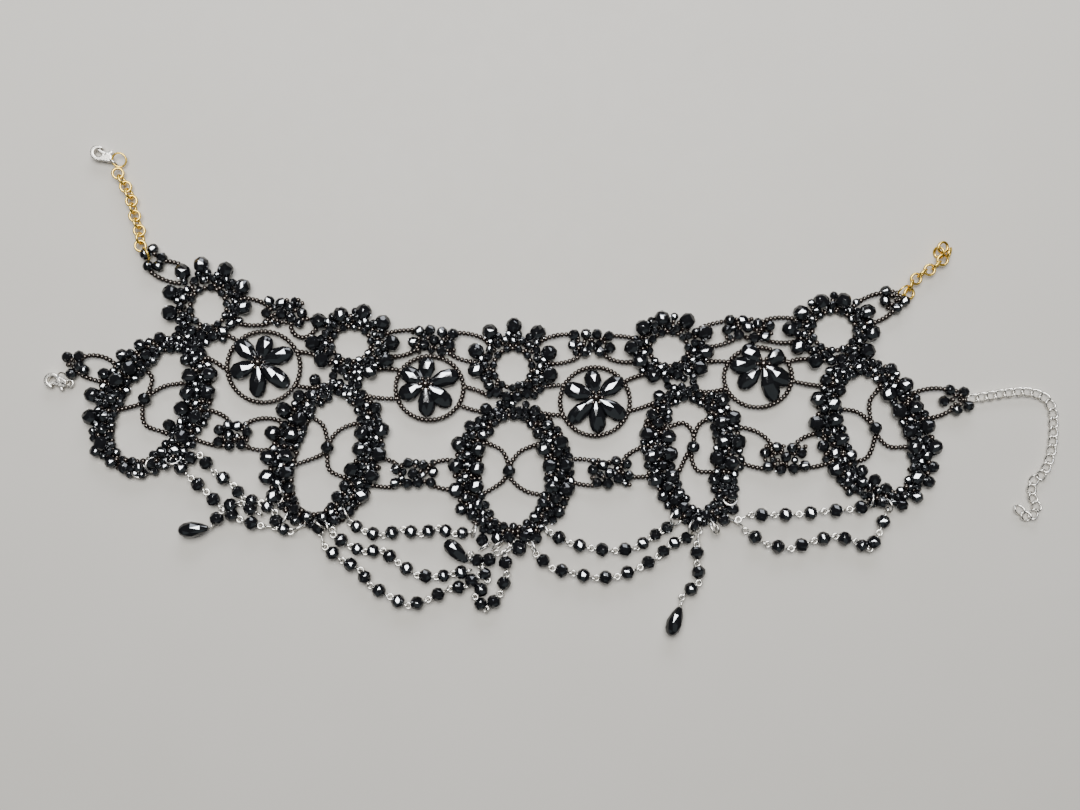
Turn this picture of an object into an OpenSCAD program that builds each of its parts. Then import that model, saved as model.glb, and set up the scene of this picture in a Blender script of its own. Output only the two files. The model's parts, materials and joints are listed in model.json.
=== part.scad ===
// Beaded choker. A woven collar of black cut glass lies open and flat. Five small crowned ovals stand
// over five large ones, with rosettes and bridges between them, swags of beads on wire pins below,
// and clasps and chains at its ends. X runs along the collar, Y points to its neck edge, Z is up.

/* [Beads] */
// Diameter of the largest beads of the ovals
oval_bead = 6; // [5.4:0.1:6.2]
// Diameter of the smallest beads of the ovals
oval_small_bead = 3.8; // [3.4:0.1:4.2]
// Diameter of the large beads that stand out round a crown
crown_bead = 5.6; // [5:0.1:5.8]
// Diameter of the beads of the bridges and end clusters
bridge_bead = 4.2; // [3.8:0.1:4.4]
// Diameter of the beads of the swags
swag_bead = 4.6; // [4.2:0.1:4.8]
// Thickness of a string of seed beads
string_t = 1.9; // [1.5:0.1:2]

/* [Rosettes] */
// Width of a petal
petal_w = 5; // [4:0.1:5.2]
// Thickness of a petal
petal_t = 4; // [3:0.1:4.4]
// Diameter of the centre bead
centre_bead = 3; // [2.4:0.1:3.2]

/* [Metal] */
// Diameter of the wire of a swag's pins
pin_wire = 0.7; // [0.5:0.1:0.8]
// Outside diameter of a gilt chain link
link_d = 5.4; // [5.2:0.1:5.5]
// Diameter of the wire of a gilt link
link_wire = 0.9; // [0.8:0.1:1]
// Width of the extender chain
extender_w = 3.4; // [2.8:0.1:3.6]
// Thickness of a clasp
clasp_t = 2.4; // [2.2:0.1:2.6]
// Length of a drop
drop_l = 11.6; // [10:0.1:11.8]
// Width of a drop
drop_w = 6; // [5:0.1:6.4]

/* [Hidden] */
$fn = 48;
bays = [1:4];
ovals = [1:5];

gap = 0.3;               // between neighbouring pieces
bore_play = 0.2;         // between a bead's bore and its wire
run_play = 0.05;         // round a clasp's pin
string_z = 2;            // height of the middle of a seed string
end_ring_r = 2.9;        // the gilt ring that carries the upper clasp
hook_x = 4;              // middle of a clasp's hook, from the lever's pivot
hook_y = -0.8;
hook_r = 1.8;
hook_wall = 1.3;
eye_x = -2.9;            // middle of a clasp's tail eye
eye_y = -0.5;
eye_r = 1.35;
pivot_r = 0.4;
lever_t = 0.9;
jet = "#18181c";
seed_black = "#2a2220";
silver = "silver";
gilt = "goldenrod";

// Columns that several tables share
X = 0;
Y = 1;

// Large ovals: half sizes run to the middle of the band, turn is that of the long axis, and
// taper is the share by which the top is wider than the middle
HALF_W = 2;
HALF_H = 3;
TURN = 4;
TAPER = 5;
OVALS = [
    [-159.2, -6.0, 16.8, 26.8, -30, -0.1],
    [-90.3, -25.8, 16.6, 26.8, -17, 0],
    [-15.3, -32.8, 18.4, 23.8, 0, 0],
    [56.8, -26.6, 14.2, 25.0, 9, 0.2],
    [129.2, -16.9, 16.8, 27.1, 20, -0.06]];
OVAL_ROWS = 18;
OVAL_POWER = 0.96;       // 1 is an ellipse, less is squarer
BAND_NARROW = 3.2;       // between the two rows of beads, at an end of the oval
BAND_WIDE = 7.6;         // the same at its sides

// Crowns: opening's half sizes, half sizes to the large beads' centres, the beads' first angle,
// step and count, and the angle and reach of the foot that meets the oval below
OPEN_W = 2;
OPEN_H = 3;
OUT_W = 4;
OUT_H = 5;
FIRST = 6;
STEP = 7;
COUNT = 8;
FOOT = 9;
REACH = 10;
CROWNS = [
    [-137.4, 33.4, 6.2, 6.8, 15.2, 16.8, 0, 31.5, 7, 237, 14.6],
    [-80.2, 18.6, 6.8, 5.8, 15.8, 12.8, -28, 34.5, 8, 262, 14.9],
    [-15.6, 9.0, 6.6, 6.8, 15.8, 17.0, -11, 33, 7, 270, 14.2],
    [47.0, 16.6, 6.6, 5.8, 15.4, 12.8, -28, 33.5, 8, 288, 15.6],
    [113.2, 23.9, 7.6, 6.8, 15.2, 13.0, -27, 33.3, 8, 293, 12.0]];
CROWN_BAND = 8;          // from a crown's opening to its outer edge between the large beads
FOOT_SPREAD = 22;        // half the angle that a foot takes up

// Bridges: centre, length, width, turn
LEN = 2;
WIDE = 3;
UPPER_BRIDGES = [
    [-107.0, 31.4, 19.0, 10.5, -17],
    [-47.4, 21.2, 19.0, 10.4, -4],
    [15.8, 18.6, 18.0, 11.0, -2],
    [78.6, 25.8, 19.0, 10.4, -7]];
LOWER_BRIDGES = [
    [-128.2, -17.8, 15.0, 11.5, -8],
    [-55.0, -33.6, 18.0, 12.0, 0],
    [23.8, -32.6, 17.5, 12.0, 8],
    [93.8, -27.4, 17.5, 12.0, 0]];

// End clusters: centre and radius
RADIUS = 2;
CLUSTERS = [
    [-159.4, 52.8, 5.4],
    [-190.2, 10.2, 5.6],
    [137.0, 36.2, 5.8],
    [162.2, -3.8, 6.2]];

// Rosettes: centre, radius of the ring, angle of the first petal
PHASE = 3;
ROSETTES = [
    [-116.2, 10.2, 13.5, 20],
    [-49.0, 0.8, 13.2, 26],
    [17.4, -4.0, 13.6, 35],
    [83.0, 5.6, 12.8, 23]];

// Strings of seed beads: two ends, and how far the string bows out to its left
X2 = 2;
Y2 = 3;
BOW = 4;
RING_STRINGS = [
    [[-134.6, 23.8, -125.9, 20.0, 0.4], [-137.8, 13.0, -128.6, 7.0, 0.4],
     [-103.6, 15.4, -92.0, 13.0, 0.8], [-104.6, 3.0, -92.5, 1.5, -1.0]],
    [[-70.3, 8.4, -60.6, 8.0, 0.4], [-73.2, -2.2, -61.4, -3.0, -0.6],
     [-37.0, 1.8, -27.4, -1.0, 0.4], [-37.6, -5.4, -26.6, -8.6, -0.6]],
    [[-4.6, 1.0, 5.4, 2.0, 0.4], [-6.2, -8.0, 5.2, -9.6, -0.8],
     [29.0, 3.2, 39.8, 6.8, 0.6], [30.4, -8.2, 42.2, -4.2, -0.6]],
    [[59.0, 11.0, 70.6, 11.4, 0.4], [60.8, -0.6, 72.2, 1.6, -0.6],
     [96.2, 11.8, 105.0, 12.4, 0.4], [96.0, 4.0, 108.6, 1.8, -0.4]]];
LOOPS = [
    [[-124.6, 36.6, -113.4, 33.6, 0.9], [-125.9, 27.6, -112.4, 27.6, -1.2],
     [-99.8, 28.4, -91.0, 26.6, 0.6], [-103.2, 23.2, -92.0, 22.4, -1.4],
     [-142.2, -8.0, -129.0, -12.6, 1.4], [-143.6, -18.6, -131.0, -22.0, -0.8],
     [-123.0, -14.6, -108.0, -13.2, 2.0], [-124.0, -20.6, -108.0, -20.8, -2.4]],
    [[-68.6, 21.4, -54.0, 23.4, 1.0], [-67.2, 14.6, -53.8, 17.4, -1.6],
     [-40.2, 22.2, -25.6, 19.2, 1.4], [-41.8, 16.4, -27.0, 12.0, -1.6],
     [-73.6, -27.6, -61.8, -29.8, 1.0], [-74.4, -36.4, -61.8, -38.0, -1.0],
     [-48.4, -30.2, -38.0, -28.6, 1.0], [-48.4, -37.0, -38.0, -39.0, -1.0]],
    [[-5.2, 18.6, 9.4, 21.6, 1.4], [-4.4, 12.0, 11.6, 14.6, -1.8],
     [21.2, 21.0, 35.6, 19.5, 1.0], [20.8, 15.2, 34.8, 13.0, -2.0],
     [6.0, -28.6, 18.4, -29.6, 1.2], [6.4, -35.0, 18.2, -37.2, -1.2],
     [29.0, -27.8, 43.6, -21.6, 1.4], [29.8, -33.6, 44.4, -31.6, -1.4]],
    [[56.8, 23.0, 73.4, 27.4, 1.2], [58.8, 17.8, 74.2, 21.4, -1.2],
     [84.4, 27.4, 98.0, 28.0, 1.0], [84.0, 21.6, 100.0, 21.0, -1.6],
     [70.8, -16.4, 88.2, -23.4, 3.0], [71.5, -25.4, 87.8, -30.6, -1.6],
     [96.6, -23.6, 110.0, -18.0, 2.0], [98.4, -30.6, 114.0, -27.0, -1.2]]];
END_LOOPS = [
    [[-157.4, 51.6, -148.0, 50.0, 0.6], [-161.0, 48.6, -147.4, 43.4, -1.4],
     [-188.0, 12.6, -174.6, 9.6, 2.0], [-189.0, 7.0, -172.6, 3.0, -1.0]],
    [[120.4, 32.4, 135.0, 38.6, 1.6], [126.3, 27.0, 137.4, 33.0, -1.2],
     [143.0, -3.0, 160.4, -1.0, 2.0], [146.0, -10.2, 160.4, -6.8, -1.6]]];

// Lattices: two strings that meet at the centre bead of an oval, each through three points
LATTICES = [
    [[-164.2, 11.2, -178.0, -8.6], [-146.2, 2.6, -154.6, -17.4], [-162.6, -3.4]],
    [[-98.6, -8.6, -105.4, -30.6], [-77.0, -12.6, -80.0, -36.4], [-89.6, -22.8]],
    [[-27.4, -19.6, -28.6, -43.2], [-4.0, -20.0, -2.8, -43.0], [-17.0, -32.2]],
    [[48.0, -13.2, 50.0, -33.2], [65.0, -10.4, 65.0, -33.6], [56.6, -22.6]],
    [[114.4, -6.4, 121.0, -29.6], [132.0, 0.6, 143.6, -23.4], [129.4, -15.0]]];

// Swags: eyes of the wire pins, and whether a bead sits between an eye and the next
BEADED = 2;
SWAGS = [
    [[[-141.0, -25.4, 1], [-135.0, -31.8, 1], [-129.0, -37.4, 1], [-123.4, -41.4, 1],
      [-115.8, -43.8, 0]],
     [[-149.2, -31.2, 1], [-144.2, -35.4, 1], [-138.2, -40.6, 1], [-132.2, -46.2, 1],
      [-124.6, -47.0, 1], [-117.0, -48.6, 0]],
     [[-112.0, -55.0, 0], [-115.8, -54.6, 1], [-123.8, -53.0, 1], [-131.0, -50.6, 1],
      [-135.4, -53.8, 0]]],
    [[[-81.0, -52.6, 1], [-75.0, -56.2, 1], [-67.8, -58.2, 1], [-59.8, -55.4, 1],
      [-52.6, -57.6, 1], [-45.8, -54.8, 1], [-39.0, -57.4, 1], [-32.2, -56.6, 0]],
     [[-87.6, -55.3, 0], [-87.8, -57.4, 1], [-80.6, -62.2, 1], [-75.0, -64.6, 1], [-67.8, -63.8, 1],
      [-61.8, -68.6, 1], [-54.2, -73.8, 1], [-46.6, -74.6, 1], [-39.8, -73.4, 1],
      [-32.6, -71.8, 0]],
     [[-92.6, -56.4, 0], [-91.0, -62.2, 1], [-84.2, -67.8, 1], [-76.6, -71.4, 1], [-73.0, -77.8, 1],
      [-65.0, -82.2, 1], [-57.8, -86.2, 1], [-49.8, -83.8, 1], [-41.0, -79.4, 1],
      [-33.4, -78.2, 0]],
     [[-15.6, -60.6, 0], [-19.0, -64.6, 1], [-17.8, -73.0, 1], [-20.2, -81.0, 1], [-25.8, -87.8, 1],
      [-31.0, -83.0, 1], [-25.4, -76.2, 1], [-27.8, -70.6, 1], [-32.2, -65.0, 0],
      [-33.0, -67.4, 0]]],
    [[[-1.0, -56.6, 1], [7.0, -61.0, 1], [15.4, -63.0, 1], [25.0, -64.2, 1],
      [33.8, -63.0, 1], [39.4, -59.0, 1], [43.8, -56.2, 1], [48.6, -53.4, 0]],
     [[-8.8, -60.2, 0], [-6.6, -65.0, 1], [-0.2, -71.0, 1], [8.2, -73.0, 1], [17.4, -75.0, 1],
      [25.8, -74.6, 1], [35.0, -71.0, 1], [43.0, -66.6, 1], [47.8, -62.6, 1],
      [53.0, -59.0, 0]],
     [[59.2, -55.6, 0], [58.2, -61.0, 1], [58.2, -68.6, 1], [59.4, -76.6, 1], [52.2, -82.2, 0],
      [51.6, -86.3, 0]]],
    [[[74.2, -51.8, 1], [80.2, -50.2, 1], [88.6, -49.8, 1], [98.6, -49.8, 1],
      [108.6, -49.0, 1], [118.2, -48.6, 1], [125.0, -46.8, 0]],
     [[77.0, -55.8, 1], [85.8, -61.4, 1], [95.4, -63.4, 1], [104.6, -60.2, 1],
      [113.0, -58.2, 1], [121.4, -60.2, 1], [127.0, -63.8, 1], [131.0, -57.4, 1],
      [134.4, -47.4, 0]]]];

// Drops: tip and heading
HEADING = 2;
DROPS = [
    [-136.0, -54.4, 188],
    [-33.6, -68.4, 137],
    [51.4, -87.1, 248]];

// Middle line of the gilt chains and of the extender chain
GOLD_LEFT = [[-164.3, 59.5], [-165.6, 68.0], [-172.2, 87.4]];
END_RING = [-172.5, 91.4, 2.4];
END_RING_TURN = [0, -12, 0];
GOLD_RIGHT = [[143.8, 41.4], [147.2, 46.6], [152.2, 50.4], [156.6, 54.8]];
EXTENDER = [
    [169.0, -3.2], [175.4, -2.2], [183.0, -1.0], [190.6, -0.6], [197.4, -2.6],
    [200.8, -7.4], [201.3, -14.0], [201.0, -21.0], [199.6, -28.0], [197.0, -33.4],
    [193.4, -36.2], [192.6, -41.6], [194.6, -47.2], [191.4, -50.8], [187.6, -47.8]];

// Clasps: pivot of the lever, height of the clasp's middle, roll and heading of the hook
Z = 2;
ROLL = 3;
CLASP_TURN = 4;
UPPER_CLASP = [-177.5, 93.6, 1.75, 180, 146];
LOWER_CLASP = [-196.0, 2.7, 1.6, 0, 174];
CLASP_RING = [-194.7, 4.6, 3.3];
CLASP_RING_TURN = [72, 0, 121];

// Geometry helpers
function turned(p, a) = [p[0] * cos(a) - p[1] * sin(a), p[0] * sin(a) + p[1] * cos(a)];
function heading(v) = atan2(v[1], v[0]);
function angle_gap(a, b) = abs((a - b + 540) % 360 - 180);
function signed_power(v, e) = sign(v) * pow(abs(v), e);
function polar_radius(w, h, a) = w * h / norm([h * cos(a), w * sin(a)]);

// Rings of points joined into one closed band
module closed_band(rings) {
    sides = len(rings[0]);
    count = len(rings);
    polyhedron(
        points = [for (ring = rings) each ring],
        faces = [
            for (i = [0:count - 1], j = [0:sides - 1])
                let (next = (i + 1) % count, k = (j + 1) % sides)
                each [
                    [i * sides + j, next * sides + j, next * sides + k],
                    [i * sides + j, next * sides + k, i * sides + k]]]);
}

// Rings of points joined into one body with two flat ends
module open_loft(rings) {
    sides = len(rings[0]);
    count = len(rings);
    polyhedron(
        points = [for (ring = rings) each ring],
        faces = concat(
            [for (i = [0:count - 2], j = [0:sides - 1])
                let (k = (j + 1) % sides)
                each [
                    [i * sides + j, (i + 1) * sides + j, (i + 1) * sides + k],
                    [i * sides + j, (i + 1) * sides + k, i * sides + k]]],
            [[for (j = [0:sides - 1]) j]],
            [[for (j = [sides - 1:-1:0]) (count - 1) * sides + j]]));
}

// Large ovals
function lump(phase) = 0.7 + 0.3 * abs(cos(180 * phase));
function oval_bead_at(t) = oval_small_bead + (oval_bead - oval_small_bead) * abs(sin(t));
function oval_spread_at(t) = BAND_NARROW + (BAND_WIDE - BAND_NARROW) * pow(abs(sin(t)), 1.4);
function oval_mid(o, t) = [
    o[HALF_W] * (1 + o[TAPER] * cos(t)) * signed_power(sin(t), OVAL_POWER),
    o[HALF_H] * signed_power(cos(t), OVAL_POWER)];
function oval_normal(o, t) =
    let (run = oval_mid(o, t + 2) - oval_mid(o, t - 2))
    [-run[1], run[0]] / norm(run);
function oval_lump(t) = lump(t * OVAL_ROWS / 360);
function oval_half(t) = oval_spread_at(t) / 2 + oval_lump(t) * oval_bead_at(t) / 2;

module oval(i) {
    o = OVALS[i];
    steps = OVAL_ROWS * 3;
    color(jet)
        translate([o[X], o[Y]])
            rotate(o[TURN])
                closed_band([for (s = [0:steps - 1])
                    let (t = s * 360 / steps, c = oval_mid(o, t), n = oval_normal(o, t),
                        half = oval_spread_at(t) / 2, size = oval_bead_at(t) / 2,
                        r = size * oval_lump(t), groove = size * (1.5 - oval_lump(t)))
                    [for (q = [
                        [half + r, size], [half + 0.4 * r, size + r],
                        [0, size + groove], [-half - 0.4 * r, size + r],
                        [-half - r, size], [-half - 0.4 * r, size - r], [half + 0.4 * r, size - r]])
                        [c[0] + n[0] * q[0], c[1] + n[1] * q[0], q[1]]]]);
}

// Crowns
function crown_inner(c, a) = polar_radius(c[OPEN_W], c[OPEN_H], a);
function crown_bead_angles(c) = [for (k = [0:c[COUNT] - 1]) c[FIRST] + k * c[STEP]];
function crown_reach(c, a) = polar_radius(c[OUT_W], c[OUT_H], a);
function in_foot(c, a) = angle_gap(a, c[FOOT]) < FOOT_SPREAD;
function crown_outer(c, a) =
    let (base = crown_inner(c, a) + CROWN_BAND,
        off = min([for (b = crown_bead_angles(c)) angle_gap(a, b)]),
        reach = crown_reach(c, a),
        side = reach * sin(off),
        r = crown_bead / 2)
    in_foot(c, a) ? c[REACH]
    : side < r ? max(base, reach * cos(off) + sqrt(r * r - side * side))
    : base;
function crown_angles(c) =
    let (last = c[FIRST] + (c[COUNT] - 1) * c[STEP] + c[STEP] / 2, rest = c[FIRST] - c[STEP] / 2 + 360 - last)
    concat(
        [for (b = crown_bead_angles(c), f = [-0.5, -0.27, -0.14, 0, 0.14, 0.27]) b + f * c[STEP]],
        [for (s = [0:7]) last + s * rest / 8]);

module crown(i) {
    c = CROWNS[i];
    color(jet)
        translate([c[X], c[Y]])
            closed_band([for (a = crown_angles(c))
                let (inner = crown_inner(c, a), outer = crown_outer(c, a),
                    proud = outer > inner + CROWN_BAND + 1 && !in_foot(c, a),
                    top = proud ? crown_bead : 4.4)
                [for (q = [
                    [inner, 1.4], [inner + 1.4, 3], [inner + 3.2, 2.6], [inner + 5.4, 4.4],
                    [outer - 1.8, top], [outer, top / 2], [outer - 2, 0], [inner + 1.2, 0]])
                    [q[0] * cos(a), q[0] * sin(a), q[1]]]]);
}

// Bridges
function bridge_half(b, s) =
    let (edge = abs(s) > b[LEN] / 2 - 1, wave = 0.88 + 0.12 * abs(cos(180 * (s / (b[LEN] / 4) + 0.5))))
    b[WIDE] / 2 * (edge ? 0.72 : wave);

module bridge(b) {
    ends = b[LEN] / 2;
    color(jet)
        translate([b[X], b[Y]])
            rotate(b[TURN])
                open_loft([for (k = [0:8])
                    let (s = -ends + k * b[LEN] / 8, h = bridge_half(b, s),
                        top = (k % 2 == 1 ? 1 : 0.8) * bridge_bead)
                    [for (q = [
                        [-h, 2], [-h + 1.6, 0], [h - 1.6, 0], [h, 2],
                        [h - 1.6, top], [0, top - 0.8], [-h + 1.6, top]])
                        [s, q[0], q[1]]]]);
}

// End clusters
function cluster_radius(c, a) = c[RADIUS] * (0.84 + 0.16 * abs(cos(a * 5 / 2)));

module end_cluster(i) {
    c = CLUSTERS[i];
    levels = [[0.7, 0], [1, 1.6], [1, 3.4], [0.6, 5]];
    color(jet)
        translate([c[X], c[Y]])
            open_loft([for (level = levels)
                [for (a = [0:24:336])
                    let (r = cluster_radius(c, a) * level[0])
                    [r * cos(a), r * sin(a), level[1]]]]);
}

// Strings of seed beads stop just short of the bands that they run into
OVAL_SPOTS = [for (o = OVALS) [
    for (t = [0:5:355]) [[o[X], o[Y]] + turned(oval_mid(o, t), o[TURN]), oval_half(t)]]];
CROWN_SPOTS = [for (c = CROWNS) concat(
    [for (a = [0:6:354])
        let (r = CROWN_BAND / 2, out = in_foot(c, a) ? c[REACH] - r : crown_inner(c, a) + r)
        [[c[X] + out * cos(a), c[Y] + out * sin(a)], r + 0.6]],
    [for (a = crown_bead_angles(c))
        [[c[X] + crown_reach(c, a) * cos(a), c[Y] + crown_reach(c, a) * sin(a)], crown_bead / 2 + 0.3]])];
function outside_spots(spots, p, margin) =
    len([for (spot = spots) if (norm(p - spot[0]) < spot[1] + margin) 1]) == 0;
function outside_bridge(b, p, margin) =
    let (q = turned(p - [b[X], b[Y]], -b[TURN]))
    abs(q[0]) > b[LEN] / 2 + margin || abs(q[1]) > bridge_half(b, q[0]) + margin;
function outside_cluster(c, p, margin) =
    let (q = p - [c[X], c[Y]])
    norm(q) > cluster_radius(c, heading(q)) + margin;
function outside_ring(r, p, margin) =
    abs(norm(p - [r[X], r[Y]]) - r[RADIUS]) > string_t / 2 + margin;
function all_true(list) = len([for (v = list) if (!v) 1]) == 0;
function clear_at(p) = all_true(concat(
    [for (spots = OVAL_SPOTS) outside_spots(spots, p, gap)],
    [for (spots = CROWN_SPOTS) outside_spots(spots, p, gap)],
    [for (b = UPPER_BRIDGES) outside_bridge(b, p, gap + 0.2)],
    [for (b = LOWER_BRIDGES) outside_bridge(b, p, gap + 0.2)],
    [for (c = CLUSTERS) outside_cluster(c, p, gap)],
    [for (r = ROSETTES) outside_ring(r, p, gap)]));

// A bowed string through two ends, as centre, radius, start angle and span
function bow_arc(p, q, bow) =
    let (run = q - p, chord = norm(run), left = [-run[1], run[0]] / chord,
        r = (chord * chord / 4 + bow * bow) / (2 * abs(bow)),
        centre = (p + q) / 2 - left * (r - abs(bow)) * sign(bow),
        half = asin(min(1, chord / 2 / r)),
        middle = heading(left * sign(bow)))
    [centre, r, middle, half];
function arc_point(arc, a, r) = arc[0] + r * [cos(a), sin(a)];
function arc_clear(arc, a) = all_true([
    for (side = [-1, 0, 1]) clear_at(arc_point(arc, a, arc[1] + side * string_t / 2))]);
function trimmed(arc) =
    let (good = [for (k = [0:60]) let (a = arc[2] - arc[3] + k * arc[3] / 30) if (arc_clear(arc, a)) a])
    len(good) < 2 ? [arc[2], arc[2]] : [min(good), max(good)];

module arc_string(arc, from, to, z) {
    translate([arc[0][0], arc[0][1], z])
        rotate(from)
            rotate_extrude(angle = to - from)
                translate([arc[1], 0])
                    circle(d = string_t, $fn = 16);
}

module seed_string(row) {
    arc = bow_arc([row[X], row[Y]], [row[X2], row[Y2]], row[BOW]);
    ends = trimmed(arc);
    color(seed_black)
        arc_string(arc, ends[0], ends[1], string_z);
}

// Lattices inside the ovals
function circle_through(a, b, c) =
    let (d = 2 * (a[0] * (b[1] - c[1]) + b[0] * (c[1] - a[1]) + c[0] * (a[1] - b[1])),
        x = (a * a * (b[1] - c[1]) + b * b * (c[1] - a[1]) + c * c * (a[1] - b[1])) / d,
        y = (a * a * (c[0] - b[0]) + b * b * (a[0] - c[0]) + c * c * (b[0] - a[0])) / d)
    [[x, y], norm(a - [x, y])];
function lattice_span(spots, arc, bead, end) =
    let (start = heading(bead - arc[0]),
        turn = (heading(end - arc[0]) - start + 540) % 360 - 180,
        good = [for (k = [0:60])
            let (a = start + turn * k / 60)
            if (all_true([for (side = [-1, 0, 1])
                outside_spots(spots, arc_point(arc, a, arc[1] + side * string_t / 2), gap)])) a])
    turn > 0 ? max(good) : min(good);

module lattice(i) {
    row = LATTICES[i];
    bead = row[2];
    apart = turned([string_t / 2 + gap, 0], OVALS[i][TURN]);
    color(seed_black)
        for (side = [0, 1]) {
            through = bead + (side == 0 ? -1 : 1) * apart;
            arc = circle_through([row[side][0], row[side][1]], through, [row[side][2], row[side][3]]);
            one = lattice_span(OVAL_SPOTS[i], arc, through, [row[side][0], row[side][1]]);
            two = lattice_span(OVAL_SPOTS[i], arc, through, [row[side][2], row[side][3]]);
            arc_string(arc, min(one, two), max(one, two), string_z);
        }
    color(jet)
        translate([bead[0], bead[1], string_z + string_t / 2 + centre_bead / 2 - 0.1])
            sphere(d = centre_bead);
}

// Rosettes
module petal(length) {
    w = petal_w / 2;
    h = petal_t / 2;
    shape = [[0, 0.22], [0.25, 0.55], [0.55, 0.95], [0.78, 1], [0.93, 0.74], [1, 0.36]];
    start = centre_bead / 2 + gap;
    translate([start, 0, h + 0.4])
        open_loft([for (s = shape)
            let (k = s[1])
            [for (q = [
                [-w, 0], [-0.55 * w, -0.7 * h], [0.55 * w, -0.7 * h], [w, 0],
                [0.66 * w, 0.7 * h], [0.3 * w, h], [-0.3 * w, h], [-0.66 * w, 0.7 * h]])
                [s[0] * length, q[0] * k, q[1] * (0.4 + 0.6 * k) + (1 - s[0]) * 0.8]]]);
}

module rosette(i) {
    r = ROSETTES[i];
    length = r[RADIUS] - string_t / 2 - centre_bead / 2 - 2 * gap;
    color(jet)
        translate([r[X], r[Y]]) {
            for (k = [0:5])
                rotate(r[PHASE] + 60 * k)
                    petal(length);
            translate([0, 0, petal_t])
                sphere(d = centre_bead);
        }
}

module rosette_ring(i) {
    r = ROSETTES[i];
    color(seed_black)
        translate([r[X], r[Y], string_z])
            wire_ring(r[RADIUS], string_t);
    for (row = RING_STRINGS[i])
        seed_string(row);
}

// Swags
function bead_spots(strand) = [
    for (k = [0:len(strand) - 2])
        if (strand[k][BEADED] == 1)
            let (a = [strand[k][X], strand[k][Y]], b = [strand[k + 1][X], strand[k + 1][Y]])
            [(a + b) / 2, heading(b - a)]];

module rondelle(d, bore) {
    r = d / 2;
    half = 0.44 * d;
    rotate([0, 90, 0])
        rotate_extrude($fn = 24)
            polygon([
                [bore / 2, -half], [0.5 * r, -half], [r, -0.2 * d],
                [r, 0.2 * d], [0.5 * r, half], [bore / 2, half]]);
}

module swag_beads(i) {
    color(jet)
        for (strand = SWAGS[i], spot = bead_spots(strand))
            translate([spot[0][0], spot[0][1], swag_bead / 2])
                rotate(spot[1])
                    rondelle(swag_bead, pin_wire + 2 * bore_play);
}

module swag_wire(strand) {
    last = len(strand) - 1;
    points = [for (row = strand) [row[X], row[Y]]];
    r = pin_wire / 2;
    open_loft([for (k = [0:last])
        let (before = k > 0 ? points[k] - points[k - 1] : points[1] - points[0],
            after = k < last ? points[k + 1] - points[k] : before,
            bend = before / norm(before) + after / norm(after),
            side = [-bend[1], bend[0]] / norm(bend))
        [for (a = [0:60:300])
            [points[k][0] + side[0] * r * cos(a), points[k][1] + side[1] * r * cos(a),
             swag_bead / 2 + r * sin(a)]]]);
}

module swag_wires(i) {
    color(silver)
        for (strand = SWAGS[i])
            swag_wire(strand);
}

module drop(i) {
    d = DROPS[i];
    w = drop_w / 2;
    shape = [[0, 0.24], [0.22, 0.5], [0.5, 0.86], [0.7, 1], [0.88, 0.8], [1, 0.38]];
    color(jet)
        translate([d[X], d[Y], w])
            rotate(d[HEADING])
                open_loft([for (s = shape)
                    [for (a = [18:36:342])
                        [s[0] * drop_l, w * s[1] * cos(a), w * s[1] * sin(a)]]]);
}

// Rings and chains
module wire_ring(r, wire) {
    rotate_extrude()
        translate([r, 0])
            circle(d = wire, $fn = 16);
}

function run_length(points, k) = k == 0 ? 0 : run_length(points, k - 1) + norm(points[k] - points[k - 1]);
function point_along(points, d, k = 1) =
    let (leg = norm(points[k] - points[k - 1]))
    d <= leg || k == len(points) - 1
        ? [points[k - 1] + (points[k] - points[k - 1]) * d / leg, heading(points[k] - points[k - 1])]
        : point_along(points, d - leg, k + 1);

module link_chain(points, count) {
    middle = (link_d - link_wire) / 2;
    pitch = run_length(points, len(points) - 1) / (count - 1);
    for (k = [0:count - 1]) {
        spot = point_along(points, k * pitch);
        translate([spot[0][0], spot[0][1], link_d / 2])
            rotate([k % 2 == 0 ? 90 : 0, 0, spot[1]])
                wire_ring(middle, link_wire);
    }
}

module gold_chain_left() {
    color(gilt) {
        link_chain(GOLD_LEFT, 11);
        translate(END_RING)
            rotate(END_RING_TURN)
                wire_ring(end_ring_r, pin_wire);
    }
}

module gold_chain_right() {
    color(gilt)
        link_chain(GOLD_RIGHT, 7);
}

module extender_chain() {
    last = len(EXTENDER) - 1;
    r = extender_w / 2;
    color(silver)
        open_loft([for (k = [0:last])
            let (before = k > 0 ? EXTENDER[k] - EXTENDER[k - 1] : EXTENDER[1] - EXTENDER[0],
                after = k < last ? EXTENDER[k + 1] - EXTENDER[k] : before,
                bend = before / norm(before) + after / norm(after),
                side = [-bend[1], bend[0]] / norm(bend))
            [for (a = [0:45:315])
                [EXTENDER[k][0] + side[0] * r * cos(a), EXTENDER[k][1] + side[1] * r * cos(a),
                 r + r * sin(a)]]]);
}

module clasp_ring() {
    color(silver)
        translate(CLASP_RING)
            rotate(CLASP_RING_TURN)
                wire_ring(end_ring_r, pin_wire);
}

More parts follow.
